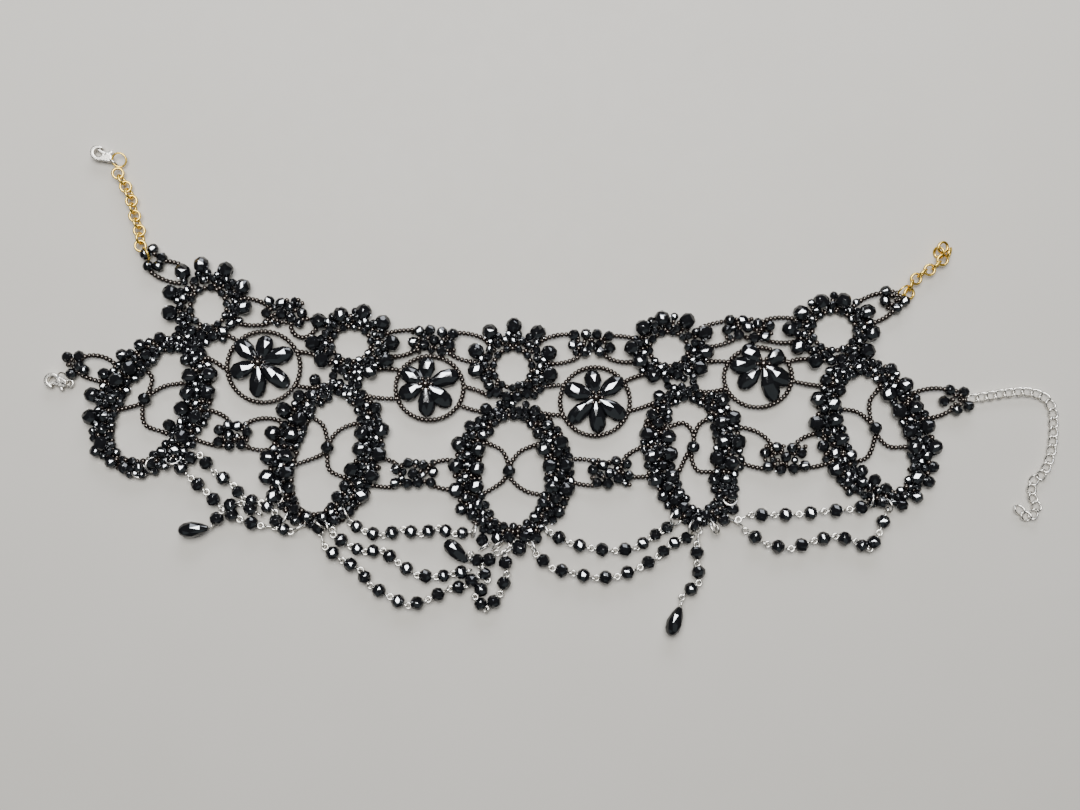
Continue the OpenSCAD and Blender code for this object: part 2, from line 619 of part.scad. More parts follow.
// Clasps: the lever's pivot is the origin, and the hook points along X and opens towards Y
module clasp_body(eye_tilt) {
    color(silver) {
        difference() {
            union() {
                translate([hook_x, hook_y])
                    cylinder(r = hook_r + hook_wall, h = clasp_t, center = true);
                linear_extrude(height = clasp_t, center = true)
                    polygon([[-1.8, -1.4], [-1.8, 0.4], [-1, 1.2], [1.3, 1.2], [2.2, -0.8], [2.4, -3.3]]);
            }
            translate([hook_x, hook_y])
                cylinder(r = hook_r, h = 2 * clasp_t, center = true);
            linear_extrude(height = 2 * clasp_t, center = true)
                polygon([[1.3, -0.2], [1.3, 3], [5.3, 3], [5.3, -0.2]]);
            linear_extrude(height = lever_t + 2 * bore_play, center = true)
                polygon([[-1.4, -1.1], [-1.4, 3], [3, 3], [3, -1.6], [0.6, -1.6], [0, -1.1]]);
        }
        cylinder(r = pivot_r, h = clasp_t - 0.2, center = true);
        translate([eye_x, eye_y, 0])
            rotate([eye_tilt, 0, 0])
                wire_ring(eye_r, pin_wire);
    }
}

module clasp_lever() {
    color(silver)
        difference() {
            union() {
                cylinder(r = 0.95, h = lever_t, center = true);
                linear_extrude(height = lever_t, center = true)
                    polygon([
                        [0, -0.6], [0, 0.95], [-0.6, 2.5], [0.5, 2.8], [1.2, 0.95],
                        [4.8, 0.6], [5.1, 0.4], [5.2, 0.1], [5.2, -0.35], [0.7, -0.6]]);
            }
            cylinder(r = pivot_r + run_play, h = 2 * clasp_t, center = true);
        }
}

module placed_clasp(place) {
    translate([place[X], place[Y], place[Z]])
        rotate([place[ROLL], 0, place[CLASP_TURN]])
            children();
}

for (i = ovals) {
    crown(i - 1);
    oval(i - 1);
    lattice(i - 1);
}
for (i = bays) {
    bridge(UPPER_BRIDGES[i - 1]);
    bridge(LOWER_BRIDGES[i - 1]);
    for (row = LOOPS[i - 1]) seed_string(row);
    rosette(i - 1);
    rosette_ring(i - 1);
    swag_beads(i - 1);
    swag_wires(i - 1);
}
end_cluster(0);  // end_cluster_upper_left
end_cluster(1);  // end_cluster_lower_left
end_cluster(2);  // end_cluster_upper_right
end_cluster(3);  // end_cluster_lower_right
for (row = END_LOOPS[0]) seed_string(row);  // end_loops_left
for (row = END_LOOPS[1]) seed_string(row);  // end_loops_right
drop(0);  // drop_1
drop(1);  // drop_2
drop(2);  // drop_3
gold_chain_left();
gold_chain_right();
extender_chain();
clasp_ring();
placed_clasp(UPPER_CLASP) clasp_body(90);  // upper_clasp
placed_clasp(UPPER_CLASP) clasp_lever();  // upper_clasp_lever
placed_clasp(LOWER_CLASP) clasp_body(0);  // lower_clasp
placed_clasp(LOWER_CLASP) clasp_lever();  // lower_clasp_lever
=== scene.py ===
"""Beaded choker: the looks of a woven collar of black cut glass, laid open and flat.

Sizes are in millimetres where nothing else is said, and a finished piece is scaled to metres once. Places
that were read from the picture are given in its pixels and turned to millimetres by one function.
"""

import json
import logging
import math
import random
from dataclasses import dataclass, field
from enum import Enum
from typing import Sequence

import bmesh
import bpy
import numpy as np
from mathutils import Matrix, Vector

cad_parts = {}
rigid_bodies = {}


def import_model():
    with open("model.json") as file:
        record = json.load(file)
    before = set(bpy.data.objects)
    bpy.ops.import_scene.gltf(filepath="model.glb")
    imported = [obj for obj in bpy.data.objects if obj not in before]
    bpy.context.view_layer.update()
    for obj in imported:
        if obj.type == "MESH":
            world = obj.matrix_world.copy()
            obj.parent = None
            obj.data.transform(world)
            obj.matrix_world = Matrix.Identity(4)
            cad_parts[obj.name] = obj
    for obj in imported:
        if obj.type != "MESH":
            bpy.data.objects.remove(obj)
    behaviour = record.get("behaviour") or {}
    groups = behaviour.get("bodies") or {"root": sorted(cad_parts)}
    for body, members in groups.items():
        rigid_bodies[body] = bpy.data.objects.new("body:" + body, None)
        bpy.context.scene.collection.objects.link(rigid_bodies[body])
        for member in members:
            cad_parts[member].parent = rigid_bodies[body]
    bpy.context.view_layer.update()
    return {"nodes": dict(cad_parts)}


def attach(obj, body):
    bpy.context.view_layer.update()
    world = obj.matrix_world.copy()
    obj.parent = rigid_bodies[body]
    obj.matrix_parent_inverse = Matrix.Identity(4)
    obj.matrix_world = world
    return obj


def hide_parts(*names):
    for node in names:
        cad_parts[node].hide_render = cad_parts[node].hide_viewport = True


LOG = logging.getLogger("choker")
MM = 0.001
MM_PER_PIXEL = 0.4
PIXEL_ORIGIN_X = -220.6
PIXEL_ORIGIN_Y = 156.2
FULL_TURN = 2.0 * math.pi
QUARTER_TURN = math.pi / 2.0

# Vertices that are nearer to each other than this are one
CLOSE = 1e-4
# Least length that a normal is divided by
LEAST_LENGTH = 1e-6
# Beads smaller than this are smooth seeds, and the others are cut
SEED_LIMIT = 2.4
# Steps along a bowed string, and how full the bow is: 1 is a parabola, and less is rounder
BOW_STEPS = 12
BOW_FULLNESS = 0.6
# Sockets of a Mix node that belong to colours
MIX_FACTOR = 0
MIX_FIRST = 6
MIX_SECOND = 7
MIX_RESULT = 2

Point = tuple[float, float]
Spot = tuple[float, float, float]
# A bowed string: both its ends across and along, and how far its middle stands out
Tie = tuple[float, float, float, float, float]


class Slot(Enum):
    """The record's material slots."""

    JET = "jet_glass"
    SEED = "seed_glass"
    SILVER = "silver_plate"
    GILT = "gilt_plate"


class Cut(Enum):
    """How a bead is shaped."""

    ROUND = "round"
    RONDELLE = "rondelle"
    SEED = "seed"


def on_photo(x: float, y: float, z: float = 0.0) -> Vector:
    """Turns a place in the picture to the collar's frame.

    Args:
        x: Pixels from the picture's left edge.
        y: Pixels from its top edge.
        z: Height above the table, in millimetres.

    Returns:
        The place in millimetres.
    """
    return Vector((x * MM_PER_PIXEL + PIXEL_ORIGIN_X, PIXEL_ORIGIN_Y - y * MM_PER_PIXEL, z))


def aimed(angle: float, length: float = 1.0, z: float = 0.0) -> Vector:
    """A step in the table's plane, with a height."""
    return Vector((length * math.cos(angle), length * math.sin(angle), z))


def left_of(run: Vector) -> Vector:
    """A step as long as the run, to its left in the table's plane."""
    return Vector((-run.y, run.x, 0.0))


def posed(spot: Vector, heading: float, roll: float) -> Matrix:
    """Place of a part that is rolled about its own X axis, turned in the table's plane and moved.

    Args:
        spot: Where its middle goes.
        heading: Turn in the table's plane, in radians.
        roll: Turn about its own X axis, in radians.

    Returns:
        The place.
    """
    return Matrix.Translation(spot) @ Matrix.Rotation(heading, 4, "Z") @ Matrix.Rotation(roll, 4, "X")


def mesh_from(bm: bmesh.types.BMesh, name: str) -> bpy.types.Mesh:
    """Turns a bmesh to a mesh and frees it.

    Args:
        bm: The finished shape.
        name: The mesh's name.

    Returns:
        The mesh.
    """
    mesh = bpy.data.meshes.new(name)
    bm.to_mesh(mesh)
    bm.free()
    return mesh


def add_object(name: str, data: bpy.types.ID) -> bpy.types.Object:
    """Adds an object to the scene.

    Args:
        name: Its name.
        data: Its mesh, light or camera.

    Returns:
        The object, at the origin.
    """
    made = bpy.data.objects.new(name, data)
    bpy.context.scene.collection.objects.link(made)
    return made


def linear(code: str) -> tuple[float, float, float, float]:
    """Turns an sRGB hex colour to linear light.

    Args:
        code: Six hex digits after a hash sign.

    Returns:
        Red, green, blue and an alpha of one.
    """
    parts = [int(code[i : i + 2], 16) / 255.0 for i in (1, 3, 5)]
    red, green, blue = (p / 12.92 if p <= 0.04045 else ((p + 0.055) / 1.055) ** 2.4 for p in parts)
    return (red, green, blue, 1.0)


def grain(size: float) -> float:
    """Scale of a noise whose features are this many millimetres across, on coordinates in metres."""
    return 1.0 / (size * MM)


def add_node(
    tree: bpy.types.NodeTree, kind: str, settings: dict[str, object], links: dict[str, bpy.types.NodeSocket]
) -> bpy.types.Node:
    """Adds one node to a material.

    Args:
        tree: The material's node tree.
        kind: The node's type.
        settings: Values by the name of an input or of a property of the node.
        links: Output sockets by the name of the input that each one feeds.

    Returns:
        The new node.
    """
    node = tree.nodes.new(kind)
    for name, value in settings.items():
        if name in node.inputs:
            node.inputs[name].default_value = value
        else:
            setattr(node, name, value)
    for name, socket in links.items():
        tree.links.new(socket, node.inputs[name])
    return node


@dataclass(frozen=True)
class Finish:
    """A surface with two close colours, a roughness that varies, and a fine relief."""

    name: str
    colour: str
    second_colour: str
    roughness_low: float
    roughness_high: float
    metallic: float = 0.0
    ior: float = 1.5
    # Tint of the reflections; where it is not white it is a painted coloured reflection
    painted_reflection_tint: str = "#ffffff"
    patch_mm: float = 3.0
    scuff_mm: float = 0.5
    relief_mm: float = 0.6
    relief_depth_mm: float = 0.01
    relief_strength: float = 0.3
    patch_detail: float = 3.0
    scuff_detail: float = 4.0
    relief_detail: float = 1.0
    # Range of the scuffs' noise that the two roughness values span
    scuff_range: Point = (0.35, 0.7)

    def noise(
        self, tree: bpy.types.NodeTree, place: bpy.types.NodeSocket, size: float, detail: float
    ) -> bpy.types.Node:
        """Adds a noise to a material.

        Args:
            tree: The material's node tree.
            place: The coordinates.
            size: How many millimetres its features are across.
            detail: How many finer layers it has.

        Returns:
            The noise's node.
        """
        settings = {"Scale": grain(size), "Detail": detail}
        return add_node(tree, "ShaderNodeTexNoise", settings, {"Vector": place})

    def material(self) -> bpy.types.Material:
        """Makes the Blender material.

        Returns:
            A material whose pattern is in Object coordinates.
        """
        made = bpy.data.materials.new(self.name)
        made.use_nodes = True
        tree = made.node_tree
        tree.nodes.clear()
        place = add_node(tree, "ShaderNodeTexCoord", {}, {}).outputs["Object"]
        patch = self.noise(tree, place, self.patch_mm, self.patch_detail)
        tint = add_node(tree, "ShaderNodeMix", {"data_type": "RGBA"}, {})
        tint.inputs[MIX_FIRST].default_value = linear(self.colour)
        tint.inputs[MIX_SECOND].default_value = linear(self.second_colour)
        tree.links.new(patch.outputs["Fac"], tint.inputs[MIX_FACTOR])
        scuff = self.noise(tree, place, self.scuff_mm, self.scuff_detail)
        rough = add_node(
            tree,
            "ShaderNodeMapRange",
            {
                "From Min": self.scuff_range[0],
                "From Max": self.scuff_range[1],
                "To Min": self.roughness_low,
                "To Max": self.roughness_high,
            },
            {"Value": scuff.outputs["Fac"]},
        )
        relief = self.noise(tree, place, self.relief_mm, self.relief_detail)
        bump = add_node(
            tree,
            "ShaderNodeBump",
            {"Strength": self.relief_strength, "Distance": self.relief_depth_mm * MM},
            {"Height": relief.outputs["Fac"]},
        )
        settings: dict[str, object] = {"Metallic": self.metallic}
        if self.metallic == 0.0:
            settings["IOR"] = self.ior
            # Painted reflection colour: tints the glints and reflections
            settings["Specular Tint"] = linear(self.painted_reflection_tint)
        shader = add_node(
            tree,
            "ShaderNodeBsdfPrincipled",
            settings,
            {
                "Base Color": tint.outputs[MIX_RESULT],
                "Roughness": rough.outputs["Result"],
                "Normal": bump.outputs["Normal"],
            },
        )
        add_node(tree, "ShaderNodeOutputMaterial", {}, {"Surface": shader.outputs["BSDF"]})
        return made


# Jet-black pressed glass, cut and fire polished: flat mirror facets, deep black between the glints
CUT_GLASS = Finish(
    name="jet_cut_glass",
    colour="#010101",
    second_colour="#040405",
    roughness_low=0.03,
    roughness_high=0.09,
    ior=1.56,
    patch_mm=2.0,
    scuff_mm=0.7,
    relief_mm=1.6,
    relief_depth_mm=0.04,
    relief_strength=0.25,
)
# Small rounded glass beads, tumbled rather than cut: a softer glint on a warm black, the glint tinted warm as
# a painted warm reflection that no lamp here gives
TUMBLED_GLASS = Finish(
    name="tumbled_seed_glass",
    colour="#030202",
    second_colour="#080504",
    roughness_low=0.06,
    roughness_high=0.13,
    ior=1.4,
    # Painted warm reflection: tints every glint of the seeds
    painted_reflection_tint="#efe0d0",
    patch_mm=1.8,
    scuff_mm=0.5,
    relief_mm=0.8,
    relief_depth_mm=0.01,
)
# Black nylon beading thread, waxed: dull, with a slight sheen along it
NYLON = Finish(
    name="waxed_nylon_thread",
    colour="#0b0a0a",
    second_colour="#191615",
    roughness_low=0.45,
    roughness_high=0.65,
    patch_mm=1.0,
    scuff_mm=0.3,
    relief_mm=0.3,
    relief_depth_mm=0.05,
)
# Silver-plated brass wire and castings, barrel polished, slightly dulled by handling
SILVER_PLATE = Finish(
    name="silver_plated_brass",
    colour="#efede9",
    second_colour="#cdcac4",
    roughness_low=0.18,
    roughness_high=0.32,
    metallic=1.0,
    patch_mm=1.4,
    scuff_mm=0.4,
    relief_mm=0.7,
    relief_depth_mm=0.02,
)
# Pale gold-plated brass links, worn thin so that they look light
GILT_PLATE = Finish(
    name="pale_gilt_brass",
    colour="#f0d26c",
    second_colour="#c8a03c",
    roughness_low=0.12,
    roughness_high=0.3,
    metallic=1.0,
    patch_mm=1.6,
    scuff_mm=0.4,
    relief_mm=0.7,
    relief_depth_mm=0.02,
)
# Plain painted board under the collar, matt
PALE_BOARD = Finish(
    name="pale_painted_board",
    colour="#e6e2db",
    second_colour="#e0dcd4",
    roughness_low=0.6,
    roughness_high=0.75,
    ior=1.45,
    patch_mm=60.0,
    scuff_mm=8.0,
    relief_mm=2.5,
    relief_depth_mm=0.02,
)


class Palette:
    """The finishes, each made once."""

    def __init__(self) -> None:
        """Makes every material."""
        self.jet = CUT_GLASS.material()
        self.seed = TUMBLED_GLASS.material()
        self.thread = NYLON.material()
        self.silver = SILVER_PLATE.material()
        self.gilt = GILT_PLATE.material()
        self.board = PALE_BOARD.material()


# Profiles along a bead's bore, for a bead one millimetre across: distance along the bore and radius
PROFILES: dict[Cut, list[Point]] = {
    Cut.ROUND: [(-0.45, 0.15), (-0.3, 0.37), (0.0, 0.5), (0.3, 0.37), (0.45, 0.15)],
    Cut.RONDELLE: [(-0.45, 0.13), (-0.4, 0.3), (-0.14, 0.5), (0.14, 0.5), (0.4, 0.3), (0.45, 0.13)],
    Cut.SEED: [(-0.38, 0.18), (-0.28, 0.41), (0.0, 0.5), (0.28, 0.41), (0.38, 0.18)],
}


def spin_profile(bm: bmesh.types.BMesh, profile: Sequence[Point], sides: int, closed: bool) -> None:
    """Spins a profile round the X axis.

    Args:
        bm: The mesh that takes the shape.
        profile: Distance along X and radius, from end to end.
        sides: Facets round the shape.
        closed: True where the profile's ends meet along a bore.
    """
    verts = [bm.verts.new((along, 0.0, radius)) for along, radius in profile]
    edges = [bm.edges.new(pair) for pair in zip(verts, verts[1:])]
    if closed:
        edges.append(bm.edges.new((verts[-1], verts[0])))
    bmesh.ops.spin(
        bm, geom=verts + edges, cent=(0, 0, 0), axis=(1, 0, 0), angle=FULL_TURN, steps=sides, use_merge=True
    )
    bmesh.ops.remove_doubles(bm, verts=bm.verts, dist=CLOSE)


def stagger_rings(bm: bmesh.types.BMesh, profile: Sequence[Point], sides: int) -> None:
    """Turns every second ring by half a facet, so that the facets interlock as on a cut bead.

    Args:
        bm: A spun shape.
        profile: The profile that it was spun from.
        sides: Facets round it.
    """
    half_step = Matrix.Rotation(math.pi / sides, 3, "X")
    for along, _ in profile[1::2]:
        ring = [v for v in bm.verts if abs(v.co.x - along) < CLOSE]
        bmesh.ops.rotate(bm, cent=(0, 0, 0), matrix=half_step, verts=ring)


def cut_drop(
    name: str, profile: Sequence[Point], turned: Sequence[Point], sides: int, flatness: float = 1.0
) -> bpy.types.Mesh:
    """Makes a solid cut drop along the X axis.

    Args:
        name: The mesh's name.
        profile: Distance from the tip and radius, from end to end.
        turned: Part of the profile, of which every second ring is turned by half a facet.
        sides: Facets round it.
        flatness: Height over width; a flattened drop lies on a facet.

    Returns:
        Its mesh, with the tip at the origin.
    """
    bm = bmesh.new()
    spin_profile(bm, profile, sides, False)
    stagger_rings(bm, turned, sides)
    bmesh.ops.holes_fill(bm, edges=bm.edges, sides=sides)
    if flatness < 1.0:
        half_step = Matrix.Rotation(math.pi / sides, 3, "X")
        bmesh.ops.rotate(bm, cent=(0, 0, 0), matrix=half_step, verts=bm.verts)
        bmesh.ops.scale(bm, vec=(1.0, 1.0, flatness), verts=bm.verts)
    bmesh.ops.triangulate(bm, faces=bm.faces)
    bmesh.ops.recalc_face_normals(bm, faces=bm.faces)
    return mesh_from(bm, name)


@dataclass
class BeadBox:
    """One mesh of each kind of bead, one millimetre across, to be copied into the pieces."""

    jet_sides: int = 10
    seed_sides: int = 8
    petal_sides: int = 10
    drop_sides: int = 10
    meshes: dict[Cut, bpy.types.Mesh] = field(default_factory=dict)

    def __post_init__(self) -> None:
        """Makes all the beads."""
        self.meshes[Cut.ROUND] = self.bored(Cut.ROUND, self.jet_sides)
        self.meshes[Cut.RONDELLE] = self.bored(Cut.RONDELLE, self.jet_sides)
        self.meshes[Cut.SEED] = self.bored(Cut.SEED, self.seed_sides)

    def bored(self, cut: Cut, sides: int) -> bpy.types.Mesh:
        """Makes a bead with a bore along X.

        Args:
            cut: The kind of bead.
            sides: Facets round it.

        Returns:
            Its mesh.
        """
        bm = bmesh.new()
        spin_profile(bm, PROFILES[cut], sides, True)
        if cut is not Cut.SEED:
            stagger_rings(bm, PROFILES[cut], sides)
        bmesh.ops.recalc_face_normals(bm, faces=bm.faces)
        for face in bm.faces:
            face.smooth = True
        return mesh_from(bm, cut.value)


@dataclass
class Piece:
    """One named piece while it is being made, in millimetres, from parts with materials of their own.

    Roundness tells how far fire polish has rounded its facets, from 0 to 1. Its cut beads are made wider in
    the table's plane by the share in widen, as they look in the picture.
    """

    name: str
    slot: Slot
    materials: list[bpy.types.Material]
    box: BeadBox
    seed: int = 1
    body: str = "collar"
    roundness: float = 0.24
    widen: float = 1.06
    bm: bmesh.types.BMesh = field(default_factory=bmesh.new)
    taken: list[tuple[Vector, float]] = field(default_factory=list)

    def __post_init__(self) -> None:
        """Starts the piece's own fixed run of chance numbers."""
        self.chance = random.Random(self.seed)

    def copy_in(self, mesh: bpy.types.Mesh, place: Matrix, material: int = 0) -> None:
        """Copies a small mesh into the piece.

        Args:
            mesh: What is copied.
            place: Where it goes.
            material: Index of its material.
        """
        verts = len(self.bm.verts)
        faces = len(self.bm.faces)
        self.bm.from_mesh(mesh)
        self.bm.verts.ensure_lookup_table()
        self.bm.faces.ensure_lookup_table()
        bmesh.ops.transform(self.bm, matrix=place, verts=self.bm.verts[verts:])
        lowest = min(v.co.z for v in self.bm.verts[verts:])
        if lowest < 0.0:
            bmesh.ops.translate(self.bm, vec=(0.0, 0.0, -lowest), verts=self.bm.verts[verts:])
        for face in self.bm.faces[faces:]:
            face.material_index = material

    def bead(
        self, cut: Cut, centre: Vector, size: float, heading: float, material: int = 0, wobble: float = 0.2
    ) -> None:
        """Sets one bead.

        Args:
            cut: The kind of bead.
            centre: Its middle.
            size: Its diameter.
            heading: Direction of its bore in the table's plane, in radians.
            material: Index of its material.
            wobble: Most that the bore may be off, in radians.
        """
        swing = self.chance.uniform(-wobble, wobble)
        tilt = self.chance.uniform(-wobble, wobble)
        roll = self.chance.uniform(0.0, FULL_TURN)
        wide = self.widen if cut is not Cut.SEED else 1.0
        place = (
            Matrix.Translation(centre)
            @ Matrix.Diagonal((wide, wide, 1.0, 1.0))
            @ Matrix.Rotation(heading + swing, 4, "Z")
            @ Matrix.Rotation(tilt, 4, "Y")
            @ Matrix.Rotation(roll, 4, "X")
            @ Matrix.Diagonal((size, size, size, 1.0))
        )
        self.copy_in(self.box.meshes[cut], place, material)
        self.taken.append((centre.copy(), size / 2.0))

    def small_bead(self, centre: Vector, size: float, heading: float, wobble: float = 0.2) -> None:
        """Sets a bead that is a seed where it is small enough and cut where it isn't.

        Args:
            centre: Its middle.
            size: Its diameter.
            heading: Direction of its bore in the table's plane, in radians.
            wobble: Most that the bore may be off, in radians.
        """
        if size < SEED_LIMIT:
            self.bead(Cut.SEED, centre, size, heading, 1, wobble)
        else:
            self.bead(Cut.ROUND, centre, size, heading, 0, wobble)

    def room(self, centre: Vector, radius: float, share: float) -> bool:
        """Tells whether a bead fits between those already set.

        Args:
            centre: The new bead's middle.
            radius: Its radius.
            share: Share of the two radii that must lie between the middles.

        Returns:
            True if nothing is in the way.
        """
        return all((centre - other).length > share * (radius + r) for other, r in self.taken)

    def finish(self, *nodes: str) -> bpy.types.Object:
        """Turns the piece into an object that stands for CAD nodes.

        Args:
            nodes: Names of the CAD nodes that it replaces.

        Returns:
            The object, at the origin.
        """
        bmesh.ops.scale(self.bm, vec=(MM, MM, MM), verts=self.bm.verts)
        for face in self.bm.faces:
            face.smooth = True
        mesh = mesh_from(self.bm, self.name)
        for material in self.materials:
            mesh.materials.append(material)
        round_facets(mesh, [self.roundness if m.name == CUT_GLASS.name else 1.0 for m in self.materials])
        made = add_object(self.name, mesh)
        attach(made, self.body)
        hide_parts(*nodes)
        LOG.info("%s: %d faces for %s", self.name, len(mesh.polygons), ", ".join(nodes))
        return made


def round_facets(mesh: bpy.types.Mesh, roundness: Sequence[float]) -> None:
    """Sets normals between those of flat facets and those of a smooth surface, as fire polish leaves them.

    Args:
        mesh: A finished mesh with every face smooth.
        roundness: By material, 0 for flat facets to 1 for a smooth surface.
    """
    flat = np.empty(len(mesh.polygons) * 3, np.float32)
    mesh.polygons.foreach_get("normal", flat)
    smooth = np.empty(len(mesh.vertices) * 3, np.float32)
    mesh.vertices.foreach_get("normal", smooth)
    sides = np.empty(len(mesh.polygons), np.int32)
    mesh.polygons.foreach_get("loop_total", sides)
    worn = np.empty(len(mesh.polygons), np.int32)
    mesh.polygons.foreach_get("material_index", worn)
    corner = np.empty(len(mesh.loops), np.int32)
    mesh.loops.foreach_get("vertex_index", corner)
    share = np.repeat(np.array(roundness, np.float32)[worn], sides)[:, None]
    faceted = np.repeat(flat.reshape(-1, 3), sides, axis=0)
    mixed = faceted * (1.0 - share) + smooth.reshape(-1, 3)[corner] * share
    mixed /= np.maximum(np.linalg.norm(mixed, axis=1, keepdims=True), LEAST_LENGTH)
    mesh.normals_split_custom_set(mixed.tolist())


def spread(points: Sequence[Vector], pitch: float) -> list[tuple[Vector, float]]:
    """Steps along a run of points.

    Args:
        points: The run.
        pitch: Distance wanted between steps, rounded so that the run holds a whole number.

    Returns:
        Places at equal steps, each with the heading of the run there.
    """
    legs = [(b - a).length for a, b in zip(points, points[1:])]
    total = sum(legs)
    count = max(1, round(total / pitch))
    made = []
    for step in range(count + 1):
        rest = total * step / count
        leg = 0
        while leg < len(legs) - 1 and rest > legs[leg]:
            rest -= legs[leg]
            leg += 1
        run = points[leg + 1] - points[leg]
        made.append((points[leg] + run * (rest / legs[leg]), math.atan2(run.y, run.x)))
    return made


def smooth_run(points: Sequence[Vector], steps: int = 8) -> list[Vector]:
    """Rounds a run of points with a Catmull-Rom curve, which passes through each of them.

    Args:
        points: The run.
        steps: New points for each leg.

    Returns:
        The rounded run.
    """
    ends = [points[0] * 2.0 - points[1], *points, points[-1] * 2.0 - points[-2]]
    made = []
    for k in range(1, len(ends) - 2):
        before, start, stop, after = ends[k - 1 : k + 3]
        for step in range(steps):
            t = step / steps
            made.append(
                0.5
                * (
                    2.0 * start
                    + (stop - before) * t
                    + (2.0 * before - 5.0 * start + 4.0 * stop - after) * t * t
                    + (3.0 * start - before - 3.0 * stop + after) * t * t * t
                )
            )
    made.append(points[-1].copy())
    return made


def bowed(x1: float, y1: float, x2: float, y2: float, bow: float, z: float) -> list[Vector]:
    """Points along a string that hangs between two ends.

    Args:
        x1: First end, across.
        y1: First end, along.
        x2: Second end, across.
        y2: Second end, along.
        bow: How far the middle stands out to the left of the way from the first end to the second.
        z: Height.

    Returns:
        The string's middle line.
    """
    start = Vector((x1, y1, z))
    run = Vector((x2, y2, z)) - start
    left = left_of(run).normalized()
    made = []
    for k in range(BOW_STEPS + 1):
        part = k / BOW_STEPS
        made.append(start + run * part + left * (bow * (4 * part * (1 - part)) ** BOW_FULLNESS))
    return made


def tucked(points: Sequence[Vector], first: float, last: float) -> list[Vector]:
    """Runs a string's ends on, so that they go in among the beads that hold them.

    Args:
        points: The string's middle line.
        first: How far its first end goes on.
        last: How far its last end goes on.

    Returns:
        The longer line.
    """
    made = list(points)
    if first > 0.0:
        made.insert(0, points[0] + (points[0] - points[1]).normalized() * first)
    if last > 0.0:
        made.append(points[-1] + (points[-1] - points[-2]).normalized() * last)
    return made


def tube(piece: Piece, points: Sequence[Vector], radius: float, sides: int, material: int) -> None:
    """Lays a thin round thread along a run of points.

    Args:
        piece: The piece that takes it.
        points: The run, in millimetres.
        radius: The thread's radius.
        sides: Facets round it.
        material: Index of its material.
    """
    bm = piece.bm
    first = len(bm.faces)
    ring = None
    for k, point in enumerate(points):
        run = points[min(k + 1, len(points) - 1)] - points[max(k - 1, 0)]
        turn = run.to_track_quat("Z", "Y").to_matrix().to_4x4()
        made = bmesh.ops.create_circle(
            bm, cap_ends=False, radius=radius, segments=sides, matrix=Matrix.Translation(point) @ turn
        )
        edges = list({e for v in made["verts"] for e in v.link_edges})
        if ring is not None:
            bmesh.ops.bridge_loops(bm, edges=ring + edges)
        ring = edges
    bm.faces.ensure_lookup_table()
    new = bm.faces[first:]
    bmesh.ops.recalc_face_normals(bm, faces=new)
    for face in new:
        face.material_index = material
        face.smooth = True


@dataclass
class SeedStrings:
    """Strings of small rounded beads on thread."""

    size: float = 2.2
    uneven: Point = (0.94, 1.04)
    pitch: float = 1.68
    height: float = 2.0
    slack: float = 0.12
    thread: float = 0.25
    thread_sides: int = 5

    def string(self, piece: Piece, points: Sequence[Vector], ring: bool = False) -> None:
        """Threads seed beads along a run.

        Args:
            piece: The piece that takes them; its second material is the thread's.
            points: The run.
            ring: True where the run's ends meet.
        """
        spots = spread(points, self.pitch)
        if ring:
            spots = spots[:-1]
        for spot, heading in spots:
            lift = Vector((0.0, 0.0, piece.chance.uniform(-self.slack, self.slack)))
            piece.bead(Cut.SEED, spot + lift, self.size * piece.chance.uniform(*self.uneven), heading, 0)
        tube(piece, [spot for spot, _ in spots], self.thread, self.thread_sides, 1)


@dataclass
class Wire:
    """Round plated wire bent to rings, eyes and chain links."""

    thickness: float = 0.9
    sides: int = 6
    steps: int = 16

    def ring(self, radius: float, stretch: float = 0.0, thickness: float = 0.0) -> bpy.types.Mesh:
        """Makes a ring of wire, or a link where it is stretched.

        Args:
            radius: From the ring's middle to the middle of its wire.
            stretch: Length of its straight sides, along X.
            thickness: Its wire's thickness, or 0 for the usual one.

        Returns:
            Its mesh, flat on the table's plane round the origin.
        """
        bm = bmesh.new()
        circle = bmesh.ops.create_circle(
            bm,
            cap_ends=False,
            radius=(thickness or self.thickness) / 2.0,
            segments=self.sides,
            matrix=Matrix.Translation((radius, 0.0, 0.0)) @ Matrix.Rotation(QUARTER_TURN, 4, "X"),
        )
        edges = list({e for v in circle["verts"] for e in v.link_edges})
        half_step = Matrix.Rotation(math.pi / self.steps, 3, "Z")
        bmesh.ops.rotate(bm, cent=(0, 0, 0), matrix=half_step, verts=circle["verts"])
        bmesh.ops.spin(
            bm,
            geom=circle["verts"] + edges,
            cent=(0, 0, 0),
            axis=(0, 0, 1),
            angle=FULL_TURN,
            steps=self.steps,
            use_merge=True,
        )
        bmesh.ops.remove_doubles(bm, verts=bm.verts, dist=CLOSE)
        for side in (-1.0, 1.0):
            half = [v for v in bm.verts if v.co.x * side > 0.0]
            bmesh.ops.translate(bm, vec=(side * stretch / 2.0, 0.0, 0.0), verts=half)
        bmesh.ops.recalc_face_normals(bm, faces=bm.faces)
        for face in bm.faces:
            face.smooth = True
        return mesh_from(bm, "wire_ring")


